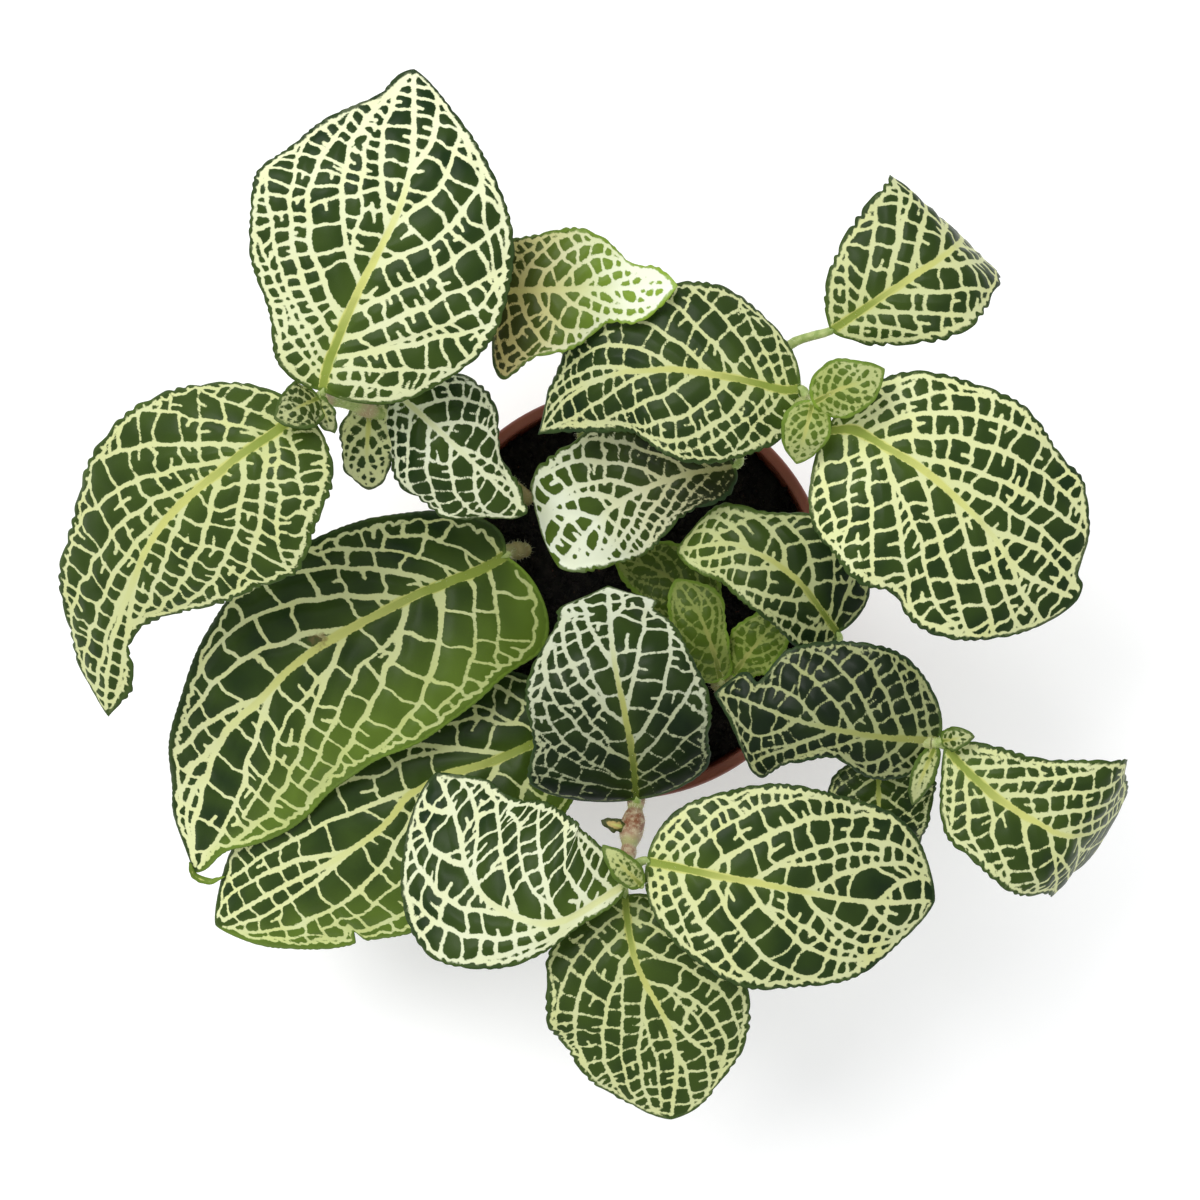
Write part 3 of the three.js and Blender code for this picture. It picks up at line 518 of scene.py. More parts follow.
def growVeins(leaf, rib, rng):
    # a list of veins, each its flat points, their half widths and whether it is a main one
    length = rib["length"]
    size = math.sqrt(length / net["usualLength"])
    first, last = net["ends"]
    veins = []

    def addVein(points, widths, main=False):
        veins.append((points, np.linspace(*widths, len(points)) * size / 2, main))

    def place(share, out):
        return flatPlace(leaf, rib, np.array(share), np.array(out))

    ribLine = curveThrough([place(share, out) for share, out in leaf["midrib"]], 80)

    def onRib(share):
        return np.column_stack([share * length, np.interp(share * length, ribLine[:, 0], ribLine[:, 1])])

    addVein(ribLine[ribLine[:, 0] < last * length], net["ribWidth"])
    for sign in (1, -1):
        def shareInside(share, gap, least=0.1):
            # the share of the half width that lies this many mm inside the margin
            half = bladeHalf(leaf, share, sign > 0)[1]
            return sign * np.clip(1 - gap * size / np.maximum(half, least), 0.3, 1)

        edgeShares = np.linspace(first, net["tailEnd"], 90)
        edge = flatPlace(leaf, rib, edgeShares, shareInside(edgeShares, net["edgeGap"]))
        lines = [(0.0, edge)]
        shares = np.linspace(first, last, int(length / 0.4))
        drift = 2.5 * np.sin(shares * length / net["dipDrift"])
        dip = net["edgeDip"] * np.abs(np.sin(shares * length / net["dipLength"] + drift))
        loop = flatPlace(leaf, rib, shares, shareInside(shares, net["edgeGap"] - dip))
        addVein(loop, (net["rungWidth"], net["rungWidth"]))
        # from the loop short veins run on to just inside the margin
        at, stop = (share * length for share in net["fringeFrom"])
        while at < stop and leaf["fringe"] and not leaf["bud"]:
            share = at / length
            root = place(share, shareInside(share, net["edgeGap"] - net["inset"]))
            tip = share + (net["fringeLean"] + rng.gauss(0, net["fringeDrift"])) * size / length
            head = flatPlace(leaf, rib, np.array(tip), shareInside(share, net["fringeGap"], 1))
            addVein(np.array([root, head]), (net["fringeWidth"],
                                             net["fringeWidth"] * net["fringeTaper"]))
            denser = abs(math.cos(0.9 * (2 * share - 1)))    # towards the base and the tip
            at += net["fringeStep"] * size * rng.uniform(*net["fringeSpread"]) * denser
        for start, out, end in sideVeins(leaf, sign, length, rng):
            # an arc from the midrib, through a place half way along, to the loop inside the margin
            begin, goal = onRib(np.array([start]))[0], place(end, shareInside(end, net["edgeGap"]))
            pull = 2 * place((start + end) / 2, sign * out) - (begin + goal) / 2
            u = np.linspace(0, 1, 40)[:, None]
            line = begin * (1 - u) ** 2 + 2 * pull * u * (1 - u) + goal * u ** 2
            limit = bladeHalf(leaf, line[:, 0] / length, sign > 0)[1]
            limit = np.maximum(limit - (net["edgeGap"] + net["inset"]) * size, net["inset"])
            line[:-1, 1] = sign * np.minimum(sign * line[:-1, 1], limit[:-1])
            basal = start < net["basalBelow"]
            addVein(line, net["basalWidth"] if basal else net["lineWidth"], not basal)
            lines.append((start, np.vstack([line, edge[edgeShares > end]])))  # its tail follows the loop
        tail = lines[-1][0] + 0.03
        lines.append((tail, onRib(np.linspace(tail, net["tailEnd"], 20))))
        for (begin, low), (nextBegin, high) in zip(lines, lines[1:]):
            if nextBegin > begin:
                high = np.vstack([onRib(np.linspace(begin, nextBegin, 8)[:-1]), high])
            fork = forkBetween(low, high, size)
            if fork is None:
                layRungs(low, high, leaf, size, rng, addVein)
                continue
            addVein(fork, net["forkWidth"])
            layRungs(low, fork, leaf, size, rng, addVein)
            tail = low[np.linalg.norm(low - fork[-1], axis=1).argmin():]
            layRungs(np.vstack([fork, tail[1:]]), high, leaf, size, rng, addVein)
    return veins


def matchLines(low, high):
    # both lines in even steps, and for each point of the first its nearest on the second and how far it is
    low, high = (evenSteps(line, max(4, int(lengthOf(line) / net["step"]))) for line in (low, high))
    apart = np.linalg.norm(low[:, None] - high[None], axis=2)
    return low, high, apart.argmin(axis=1), apart.min(axis=1)


def forkBetween(low, high, size):
    # a vein that leaves the lower line where the space grows wide and runs down the middle of it
    low, high, nearest, width = matchLines(low, high)
    widest = net["widestStrip"] * size
    wide = np.flatnonzero((width > widest) & (nearest > 0) & (nearest < len(high) - 1))
    if len(wide) < 8:
        return None
    before, after = (share * widest for share in net["forkCloses"])
    narrowBefore = np.flatnonzero(width[:wide[0]] < before)
    narrowAfter = np.flatnonzero((width < after) & (np.arange(len(low)) > wide[-1]))
    first = narrowBefore[-1] if len(narrowBefore) else 0
    last = narrowAfter[0] if len(narrowAfter) else len(low) - 1
    picks = np.arange(wide[0], last, 5)
    if len(picks) < 3:
        return None
    middle = (low[picks] + high[nearest[picks]]) / 2
    held = (1 - smooth(0, 4, np.arange(len(picks)))[:, None]) * net["forkHeld"]
    return np.vstack([low[first], low[picks] * held + middle * (1 - held), low[last]])


def layRungs(low, high, leaf, size, rng, addVein):
    # cross veins between two neighbouring lines, with free spurs in the larger cells
    low, high, nearest, width = matchLines(low, high)
    step, (leastCell, mostCell) = net["step"], net["rungStep"]
    wait, lean = rng.uniform(*net["firstRung"]), rng.gauss(0, net["lean"])
    rungs = []
    for k in range(1, len(low) - 1):
        if not 0 < nearest[k] < len(high) - 1 or width[k] < net["narrowestStrip"] * size:
            continue
        cell = max(net["rungPerWidth"] * width[k] + size, leastCell * size)
        wait -= step / (min(cell, mostCell * size) * leaf["cells"])
        if wait > 0:
            continue
        far = int(nearest[k] + lean * width[k] / step)
        apart = net["rungApart"] * size / step
        if not 0 < far < len(high) - 1 or rungs and far - rungs[-1][1] < apart:
            continue
        wait = rng.uniform(*net["rungSpread"])
        lean = net["leanKept"] * lean + rng.gauss(0, net["leanDrift"])
        rungs.append((k, far))
        way = high[far] - low[k]
        turn = np.array([-way[1], way[0]])
        sways = (0, 0), (0.35, rng.gauss(0, net["bend"])), (0.68, rng.gauss(0, net["bend"])), (1, 0)
        broad = net["rungWidth"] * rng.uniform(*net["rungUneven"])
        broad = broad * (0.94 if width[k] < 2.6 * size else 1)
        addVein(np.array([low[k] + way * u + turn * sway for u, sway in sways]),
                (broad, broad * rng.uniform(*net["rungTaper"])))
    for (k1, f1), (k2, f2) in zip(rungs, rungs[1:]):
        nearSide, farSide = low[(k1 + k2) // 2], high[(f1 + f2) // 2]
        firstMid, nextMid = (low[k1] + high[f1]) / 2, (low[k2] + high[f2]) / 2
        room = np.linalg.norm(farSide - nearSide), np.linalg.norm(nextMid - firstMid)
        chance = leaf["spurs"] * min(1.8, room[0] * room[1] / net["spurCell"])
        if min(room) < net["spurRoom"] * size or rng.random() > chance:
            continue
        start, goal = rng.choice([(nearSide, farSide), (farSide, nearSide), (firstMid, nextMid),
                                  (nextMid, firstMid)])
        way = (goal - start) * rng.uniform(*net["spurReach"])
        turn = np.array([-way[1], way[0]]) * rng.gauss(0, net["spurTurn"])
        broad = net["spurWidth"] * rng.uniform(*net["spurUneven"])
        addVein(np.array([start, start + way * 0.5 + turn * 0.5, start + way + turn]),
                [broad * part for part in net["spurTaper"]])


def firstsOf(rows):
    # the number of the first point of each row, and of the one after the last
    return np.r_[0, np.cumsum([len(row) for row in rows])]


def veinGaps(places, veins, rounding=0.18):
    # distances in mm from each place: to the nearest vein's edge, the midrib's, and a main vein's middle
    firsts = firstsOf([points[1:] for points, _, _ in veins])[:-1]
    starts, ends = slice(-1), slice(1, None)
    a, b, ra, rb = (np.concatenate([vein[part][cut] for vein in veins]).astype(np.float32)
                    for part, cut in ((0, starts), (0, ends), (1, starts), (1, ends)))
    way = b - a
    long = np.maximum((way ** 2).sum(1), 1e-9)
    mains = [i for i, vein in enumerate(veins) if vein[2]]
    results = []
    for p in np.array_split(places.astype(np.float32), max(1, len(places) * len(a) // 3000000)):
        dx = p[:, None, 0] - a[:, 0]
        dy = p[:, None, 1] - a[:, 1]
        h = np.clip((dx * way[:, 0] + dy * way[:, 1]) / long, 0, 1)
        dx -= h * way[:, 0]
        dy -= h * way[:, 1]
        gaps = np.minimum.reduceat(np.sqrt(dx * dx + dy * dy) - (ra + h * (rb - ra)), firsts, axis=1)
        least = gaps.min(axis=1)
        soft = least - rounding * np.log(np.exp((least[:, None] - gaps) / rounding).sum(axis=1))
        main = gaps[:, mains].min(axis=1) if mains else least + 9
        results.append(np.stack([soft, gaps[:, 0], main], 1))
    return np.concatenate(results).T.astype(float)


# Blades as fine closed sheets

sheet = {
    "step": 0.37,          # between points of the upper side; the under side has every other row
    "youngStep": 0.75,     # a young leaf has shorter steps
    "halfThick": 0.2, "edgeThick": 0.1, "inward": (-0.1, 1.6),    # from the margin, over which it thickens
    "puff": 0.2, "puffOver": 0.8,               # tissue between the veins swells up by this much
    "quilt": 0.4, "quiltOver": 1.7,             # the blade dips along its side veins
    "keel": 0.75, "keelSide": (1.2, -0.5),      # the midrib stands out below
    "ridge": 0.22, "ridgeSide": (0.5, -0.2),    # and the finer veins by this much
    "tooth": 0.32, "toothPitch": 2.5, "pitchDrift": 0.35, "toothFoot": 0.6,
    "bump": 0.45, "bumpLengths": (9.5, 5.3),    # slower bumps of the margin
    "teethFade": (0.05, 0.1), "youngTeeth": 0.4, "teethReach": 10,
    "patchLength": 11, "youngPatch": 0.02, "whitePatch": 0.06,    # lighter and darker places of the tissue
    "youngAtRib": 0.2, "youngOver": 3, "ribTint": (0.3, -0.15), "ribTintFade": (1.15, 1.5),
}


def bladeRows(leaf, rib, step):
    # shares of the length for the rows, an even number of steps
    fine = np.linspace(0, 1, 1500)
    measure = 0.4 * fine * rib["length"]
    for sign in (1, -1):
        measure = measure + 0.3 * runOf(marginLine(leaf, rib, fine, sign))
    rows = 2 * int(measure[-1] / step / 2)
    return np.interp(np.linspace(0, measure[-1], rows + 1), measure, fine)


def bladeGrid(leaf, shares, step):
    # how the points of each row lie across, and the share and the across of every point
    across = []
    for share in shares:
        if share in (0.0, 1.0):
            across.append(np.zeros(1))
            continue
        halves = [bladeHalf(leaf, share, onLeft)[1] for onLeft in (False, True)]
        right, left = (max(1, 3 * round(float(half) / (3 * step))) for half in halves)
        across.append(np.r_[np.linspace(-1, 0, right + 1), np.linspace(0, 1, left + 1)[1:]])
    return across, np.repeat(shares, [len(row) for row in across]), np.concatenate(across)


def zipRows(across):
    # triangles between neighbouring rows, upper side facing up
    firsts = firstsOf(across)
    triangles = []
    for i in range(len(across) - 1):
        p, q = across[i], across[i + 1]
        a, b = 0, 0
        while a < len(p) - 1 or b < len(q) - 1:
            onFirst = b == len(q) - 1 or (a < len(p) - 1 and p[a + 1] <= q[b + 1])
            third = firsts[i] + a + 1 if onFirst else firsts[i + 1] + b + 1
            triangles.append((firsts[i] + a, firsts[i + 1] + b, third))
            a, b = (a + 1, b) if onFirst else (a, b + 1)
    return triangles


def toothedEdge(leaf, rib, share, across, rng):
    # shallow round teeth: how far the margin stands out at each point
    reach = np.zeros(len(share))
    fine = np.linspace(0, 1, 800)
    for sign in (1, -1):
        drift = rng.uniform(0, 6), rng.uniform(8, 13)
        here = np.interp(share, fine, runOf(marginLine(leaf, rib, fine, sign)))
        turns = here / sheet["toothPitch"] / (0.5 + 0.5 * leaf["teeth"])
        turns = turns + sheet["pitchDrift"] * np.sin(here / drift[1] * roundTurn + drift[0])
        tooth = sheet["tooth"] * leaf["teeth"] * (np.abs(np.sin(np.pi * turns)) - sheet["toothFoot"])
        long, short = sheet["bumpLengths"]
        slow = sheet["bump"] * np.sin(here / long + drift[0] * 2) * np.sin(here / short + drift[1])
        reach = np.where(np.sign(across) == sign, tooth + slow, reach)
    atBase, atTip = sheet["teethFade"]
    fade = np.clip(share / atBase, 0, 1) * np.clip((1 - share) / atTip, 0, 1)
    return reach * fade * (sheet["youngTeeth"] if leaf["bud"] else 1.0)


def growBlade(leaf, seed):
    # one blade: its points, triangles, which of them are on the upper side, and its values for the materials
    rng = random.Random(seed)
    rib = ribFrame(leaf)
    size = math.sqrt(rib["length"] / net["usualLength"])
    step = sheet["step"] * (sheet["youngStep"] if leaf["bud"] else 1)
    shares = bladeRows(leaf, rib, step)
    upperRows, upperShare, upperAcross = bladeGrid(leaf, shares, step)
    lowerRows, lowerShare, lowerAcross = bladeGrid(leaf, shares[::2], 2 * step)
    count = len(upperShare)
    share = np.r_[upperShare, lowerShare]
    cross = np.r_[upperAcross, lowerAcross]
    onUpper = np.arange(len(share)) < count

    veins = growVeins(leaf, rib, rng)
    flat = flatPlace(leaf, rib, share, cross)
    calm = smooth(*net["calm"], np.abs(flat[:, 1])) * net["wander"] * size
    sway = [wavesField(rng, net["wanderLength"]) for _ in range(2)]
    swayed = flat + np.stack([field(flat) for field in sway], 1) * calm[:, None]
    gap, ribGap, mainGap = veinGaps(swayed, veins)

    def along(key):
        return leaf[key][0] + (leaf[key][1] - leaf[key][0]) * share
    gap = gap - net["boldStep"] * (along("bold") - 1) * size
    gap = gap + net["ragged"] * wavesField(rng, net["raggedLength"])(flat)

    rim = [marginLine(leaf, rib, np.linspace(0, 1, 260), sign) for sign in (1, -1)]
    rimGap = veinGaps(flat, [(margin, np.zeros(len(margin)), False) for margin in rim], 0.05)[0]
    patches = wavesField(rng, sheet["patchLength"])(flat)
    atRib = sheet["youngAtRib"] * np.exp(-np.maximum(ribGap, 0) / sheet["youngOver"])
    young = along("young") + leaf["youngLeft"] * smooth(0.1, 0.9, cross)
    young = np.clip(young + sheet["youngPatch"] * patches + atRib * (1 - share) ** 2, 0, 1)
    white = np.clip(along("white") + sheet["whitePatch"] * patches, 0, 1)
    most, fall = sheet["ribTintFade"]
    ribTint = smooth(*sheet["ribTint"], ribGap) * np.clip(most - share * fall, 0, 1) * leaf["greenRib"]

    teeth = toothedEdge(leaf, rib, share, cross, rng) * np.abs(cross) ** sheet["teethReach"]
    middle, normal = bladePoint(leaf, rib, share, cross, teeth)
    inward = smooth(*sheet["inward"], rimGap)
    half = sheet["edgeThick"] + (sheet["halfThick"] - sheet["edgeThick"]) * inward
    dip = -sheet["quilt"] * size * np.exp(-(np.maximum(mainGap, 0) / sheet["quiltOver"]) ** 2)
    puff = sheet["puff"] * (1 - np.exp(-np.maximum(gap, 0) / sheet["puffOver"])) * inward
    keel = sheet["keel"] * size * smooth(*sheet["keelSide"], ribGap) * (1 - share) ** 0.6 * inward
    ridge = sheet["ridge"] * smooth(*sheet["ridgeSide"], gap) * inward
    lift = dip * inward + np.where(onUpper, half + puff, -half - np.maximum(keel, ridge))

    upper = np.array(zipRows(upperRows))
    lower = np.array(zipRows(lowerRows))[:, ::-1] + count
    faces = np.vstack([upper, lower, rimStrip(upperRows, lowerRows)])
    values = {"veinGap": np.clip(gap, -2, 6), "rimGap": np.clip(rimGap, 0, 6), "young": young,
              "white": white, "ribTint": ribTint, "warm": along("warm"), "dim": along("dim")}
    return middle + normal * lift[:, None], faces, np.arange(len(faces)) < len(upper), values


def rimStrip(upperRows, lowerRows):
    # closes the two sides along both margins: two rows of the upper side to each row of the under side
    upperEnds, lowerEnds = firstsOf(upperRows), firstsOf(lowerRows)
    lowerEnds = lowerEnds + upperEnds[-1]
    strip = []
    for right in (True, False):
        top, low = (ends[:-1] if right else ends[1:] - 1 for ends in (upperEnds, lowerEnds))
        for i in range(len(lowerRows) - 1):
            a, b, c = top[2 * i], top[2 * i + 1], top[2 * i + 2]
            d, e = low[i], low[i + 1]
            trio = [(a, d, b), (b, d, e), (b, e, c)]
            strip += trio if right else [face[::-1] for face in trio]
    return np.array(strip)


def growBlades(shoot, seed, materials):
    points, faces, uppers, values = [], [], [], {}
    count = 0
    for i, leaf in enumerate(shoot["leaves"]):
        somePoints, someFaces, isUpper, someValues = growBlade(leaf, seed * 100 + i)
        points.append(somePoints)
        faces.append(someFaces + count)
        uppers.append(isUpper)
        count += len(somePoints)
        for key, value in someValues.items():
            values.setdefault(key, []).append(value)
    values = {key: np.concatenate(parts) for key, parts in values.items()}
    slots = 1 - np.concatenate(uppers).astype(int)
    return plainMesh(shoot["name"] + "_blades", np.vstack(points), np.vstack(faces), materials, slots,
                     values)


# Materials
# a name in the plural holds a range: low, high, and what a node gives at each, or 0 and 1;
# for the relief of cells and grains it holds the strength and the depth; sizes of noise are in mm

softStep = {"interpolation_type": "SMOOTHSTEP"}
paint = {"data_type": "RGBA"}
plus, times, timesPlus = ({"operation": name} for name in ("ADD", "MULTIPLY", "MULTIPLY_ADD"))


def newMaterial(name, *values):
    # a material, its tree and shader, the place on the piece in millimetres, and named values of the mesh
    material = bpy.data.materials.new(name)
    material.use_nodes = True
    tree = material.node_tree
    tree.nodes.clear()
    shader = addNode(tree, "BsdfPrincipled")
    addNode(tree, "OutputMaterial", None, {"Surface": shader})
    spot = addNode(tree, "TexCoord").outputs["Object"]
    place = addNode(tree, "VectorMath", {"operation": "SCALE"}, {0: spot, "Scale": 1 / mm})
    read = [addNode(tree, "Attribute", {"attribute_name": value}).outputs["Fac"] for value in values]
    return material, tree, shader, place, *read


def span(low, high, first=0.0, last=1.0):
    return {1: low, 2: high, 3: first, 4: last}


def blotches(tree, place, size, limits, settings=softStep, **more):
    # noise of this size whose values are spread over the range
    noise = addNode(tree, "TexNoise", None, {"Vector": place, "Scale": 1 / size, **more})
    return addNode(tree, "MapRange", settings, {0: noise, **span(*limits)})


def relief(tree, place, size, strength, depth, **more):
    # noise of this size that lifts the skin by up to this depth
    noise = addNode(tree, "TexNoise", None, {"Vector": place, "Scale": 1 / size, **more})
    return addNode(tree, "Bump", None, {"Height": noise, "Strength": strength, "Distance": depth * mm})


leafLook = {
    "deep": "#13290a", "mid": "#2a4512", "fresh": "#86a434", "edge": "#223519",
    "cream": "#dcdf9b", "white": "#e6ebd8", "greenVein": "#b3c266", "ribPale": "#cdcf78",
    "ribGreen": "#8c9c40",
    # brown vein and tissue tints: painted shade on two leaf bases and dry brown on a bract; the grey-green
    # darkening is partly painted shade
    "warmVein": "#b89c5e", "warmTissue": "#38340f", "dim": "#898e7c", "blemish": "#6d5a35",
    "under": "#7e9867", "underVein": "#c9d0a4",
    "vein": (-0.06, 0.15, 1.0, 0.0), "halo": (0.0, 0.7, 0.2, 0.0),    # by the distance to a vein's edge
    "crumble": 0.45, "crumbles": (0.25, 0.75, -0.1, 0.1),             # the unevenness of the veins' edges
    "patch": 2.6, "patches": (0.35, 0.7, 0.0, 0.14),                  # lighter places of the tissue
    "greenVeins": (0.1, 0.8, 1.6, 0.0), "ribYellows": (0.0, 0.55), "ribGreens": (0.55, 1.0),
    "band": (0.5, 0.9, 0.92, 0.0), "bandBlotch": 1.2, "bandBlotches": (0.3, 0.7, -0.2, 0.2),
    "satin": (0.0, 1.0, 0.42, 0.55), "sunken": 0.06,
    "cell": 0.25, "cells": (0.35, 0.05), "underCells": (0.3, 0.05),    # drawn coarser than they are, to show
    "blemishPlace": (-65.4, -10.0, 96.0), "blemishes": (0.4, 2.6, 0.75, 0.0), "blemishRagged": 4.0,
    "underVeins": (-0.1, 0.35, 0.75, 0.0), "underPatches": (0.3, 0.7, 0.0, 0.4),
    "underBand": (0.2, 0.7, 0.8, 0.0),
}


def leafUpperMaterial():
    # living leaf, upper side: satin skin, the tissue swollen between sunken veins,
    # which hold no green and so look pale
    look = leafLook
    material, tree, shader, place, gap, rim, young, white, ribTint, warm, dim = newMaterial(
        "fittonia leaf upper skin", "veinGap", "rimGap", "young", "white", "ribTint", "warm", "dim")
    crumble = blotches(tree, place, look["crumble"], look["crumbles"], None)
    ragged = addNode(tree, "Math", plus, {0: gap, 1: crumble})
    vein = addNode(tree, "MapRange", softStep, {0: ragged, **span(*look["vein"])})
    halo = addNode(tree, "MapRange", softStep, {0: gap, **span(*look["halo"])})
    patch = blotches(tree, place, look["patch"], look["patches"], Detail=3.0)
    lighter = addNode(tree, "Math", plus, {0: halo, 1: patch})
    tissue = look["deep"]
    # the brown tissue tint is painted shade on two shaded leaf bases and dry brown on a bract
    for amount, over in ((lighter, "mid"), (young, "fresh"), (warm, "warmTissue")):
        tissue = addNode(tree, "Mix", paint, {0: amount, 6: tissue, 7: look[over]})

    notWhite = addNode(tree, "MapRange", None, {0: white, **span(*look["greenVeins"])})
    soft = addNode(tree, "Math", times, {0: notWhite, 1: young})
    yellow, green = [addNode(tree, "MapRange", softStep, {0: ribTint, **span(*look[key])})
                     for key in ("ribYellows", "ribGreens")]
    pale = look["cream"]
    # the brown vein tint is painted shade on two shaded leaf bases and dry brown on a bract
    for amount, over in ((white, "white"), (soft, "greenVein"), (warm, "warmVein"), (yellow, "ribPale"),
                         (green, "ribGreen")):
        pale = addNode(tree, "Mix", paint, {0: amount, 6: pale, 7: look[over]})
    colour = addNode(tree, "Mix", paint, {0: vein, 6: tissue, 7: pale})
    # the darkening is painted shade on the low and shaded leaves, as well as dull old colour
    colour = addNode(tree, "Mix", {**paint, "blend_type": "MULTIPLY"},
                     {0: dim, 6: colour, 7: look["dim"]})

    uneven = blotches(tree, place, look["bandBlotch"], look["bandBlotches"])
    margin = addNode(tree, "Math", plus, {0: rim, 1: uneven})
    band = addNode(tree, "MapRange", softStep, {0: margin, **span(*look["band"])})
    edge = addNode(tree, "Mix", paint, {0: young, 6: look["edge"], 7: look["fresh"]})
    away = addNode(tree, "VectorMath", {"operation": "DISTANCE"}, {0: place, 1: look["blemishPlace"]})
    away = addNode(tree, "Math", timesPlus, {0: uneven, 1: look["blemishRagged"], 2: away})
    dead = addNode(tree, "MapRange", softStep, {0: away, **span(*look["blemishes"])})
    for amount, over in ((band, edge), (dead, look["blemish"])):
        colour = addNode(tree, "Mix", paint, {0: amount, 6: colour, 7: over})
    satin = addNode(tree, "MapRange", None, {0: vein, **span(*look["satin"])})
    cells = relief(tree, place, look["cell"], *look["cells"], Detail=1.0)
    sunken = addNode(tree, "Bump", {"invert": True}, {
        "Height": vein, "Strength": 0.5, "Distance": look["sunken"] * mm, "Normal": cells})
    setInputs(tree, shader, {"Base Color": colour, "Roughness": satin, "Normal": sunken, "IOR": 1.42,
                             "Specular IOR Level": 0.18})
    return material


def leafUnderMaterial():
    # living leaf, under side: paler and duller, and its veins stand out
    look = leafLook
    material, tree, shader, place, gap, rim, young = newMaterial(
        "fittonia leaf under skin", "veinGap", "rimGap", "young")
    vein = addNode(tree, "MapRange", softStep, {0: gap, **span(*look["underVeins"])})
    patch = blotches(tree, place, look["patch"], look["underPatches"], Detail=3.0)
    fresh = addNode(tree, "Math", times, {0: young, 1: 0.5})
    band = addNode(tree, "MapRange", softStep, {0: rim, **span(*look["underBand"])})
    colour = look["under"]
    for amount, over in ((patch, "mid"), (fresh, "fresh"), (vein, "underVein"), (band, "edge")):
        colour = addNode(tree, "Mix", paint, {0: amount, 6: colour, 7: look[over]})
    cells = relief(tree, place, look["cell"], *look["underCells"])
    setInputs(tree, shader, {"Base Color": colour, "Roughness": 0.6, "Normal": cells,
                             "Specular IOR Level": 0.3})
    return material


stemLook = {
    "green": "#7f9448", "pale": "#a3b06c", "old": "#a88f66", "joint": "#7c4a2e", "dry": "#b3a283",
    "hair": "#e6e4cf", "hairYoung": "#c8ca9e", "hairPatch": 3.0,
    "ages": (79.0, 109.0, 1.0, 0.0),    # heights over which green turns tan, with the mean of the drift
    "ageDrift": 30.0, "agePatch": 6.0,
    "mottle": 1.4, "mottles": (0.3, 0.7), "jointDryness": 1.4, "grain": 0.5, "grains": (0.5, 0.12),
}


def stemMaterial():
    # soft stem skin: green above, tan and corky near the soil, browner at its joints
    look = stemLook
    material, tree, shader, place, joint = newMaterial("fittonia stem skin", "joint")
    height = addNode(tree, "SeparateXYZ", None, {0: place}).outputs["Z"]
    wander = addNode(tree, "TexNoise", None, {"Vector": place, "Scale": 1 / look["agePatch"]})
    height = addNode(tree, "Math", timesPlus, {0: wander, 1: look["ageDrift"], 2: height})
    old = addNode(tree, "MapRange", softStep, {0: height, **span(*look["ages"])})
    mottle = blotches(tree, place, look["mottle"], look["mottles"], Detail=3.0)
    tan = addNode(tree, "Math", {**times, "use_clamp": True}, {0: joint, 1: look["jointDryness"]})
    cork = addNode(tree, "Math", times, {0: joint, 1: mottle})
    colour = look["green"]
    for amount, over in ((mottle, "pale"), (old, "old"), (tan, "dry"), (cork, "joint")):
        colour = addNode(tree, "Mix", paint, {0: amount, 6: colour, 7: look[over]})
    skin = relief(tree, place, look["grain"], *look["grains"], Detail=3.0)
    setInputs(tree, shader, {"Base Color": colour, "Roughness": 0.55, "Normal": skin})
    return material


def hairMaterial():
    # plant hair: nearly clear, so it looks white and catches the light
    look = stemLook
    material, tree, shader, place = newMaterial("fittonia hair")
    mottle = addNode(tree, "TexNoise", None, {"Vector": place, "Scale": 1 / look["hairPatch"]})
    colour = addNode(tree, "Mix", paint, {0: mottle, 6: look["hair"], 7: look["hairYoung"]})
    setInputs(tree, shader, {"Base Color": colour, "Roughness": 0.4})
    return material


peatLook = {
    # the first colour is dark peat made darker still, to near black, as painted shade
    "shadeBlack": "#050403", "brown": "#150e09", "fibre": "#4a2a1c", "clod": 2.2, "clods": (0.35, 0.7),
    "speck": 1.1, "specks": (0.7, 0.76), "dullness": (0.0, 1.0, 0.95, 0.75), "grain": 0.5,
    "grains": (0.9, 0.5),
}


def peatMaterial():
    # damp peat: crumbs of different browns, dull, with a few reddish fibres; its ground colour is darkened to
    # near black as painted shade under the leaves
    look = peatLook
    material, tree, shader, place = newMaterial("damp peat")
    clods = blotches(tree, place, look["clod"], look["clods"], Detail=4.0, Roughness=0.65)
    specks = blotches(tree, place, look["speck"], look["specks"])
    colour = look["shadeBlack"]
    for amount, over in ((clods, "brown"), (specks, "fibre")):
        colour = addNode(tree, "Mix", paint, {0: amount, 6: colour, 7: look[over]})
    dull = addNode(tree, "MapRange", softStep, {0: clods, **span(*look["dullness"])})
    lumps = relief(tree, place, look["grain"], *look["grains"], Detail=4.0, Roughness=0.7)
    setInputs(tree, shader, {"Base Color": colour, "Roughness": dull, "Normal": lumps,
                             "Specular IOR Level": 0.25})
    return material


potLook = {
    "dark": "#66291b", "light": "#7d3b28", "dust": "#a17f68", "flow": 9.0, "dusty": (2.0, 30.0, 0.5, 0.08),
    "stain": 5.0, "stains": (0.35, 0.75), "gloss": (0.0, 1.0, 0.42, 0.6),
    "grain": 0.35, "grains": (0.35, 0.05),
}


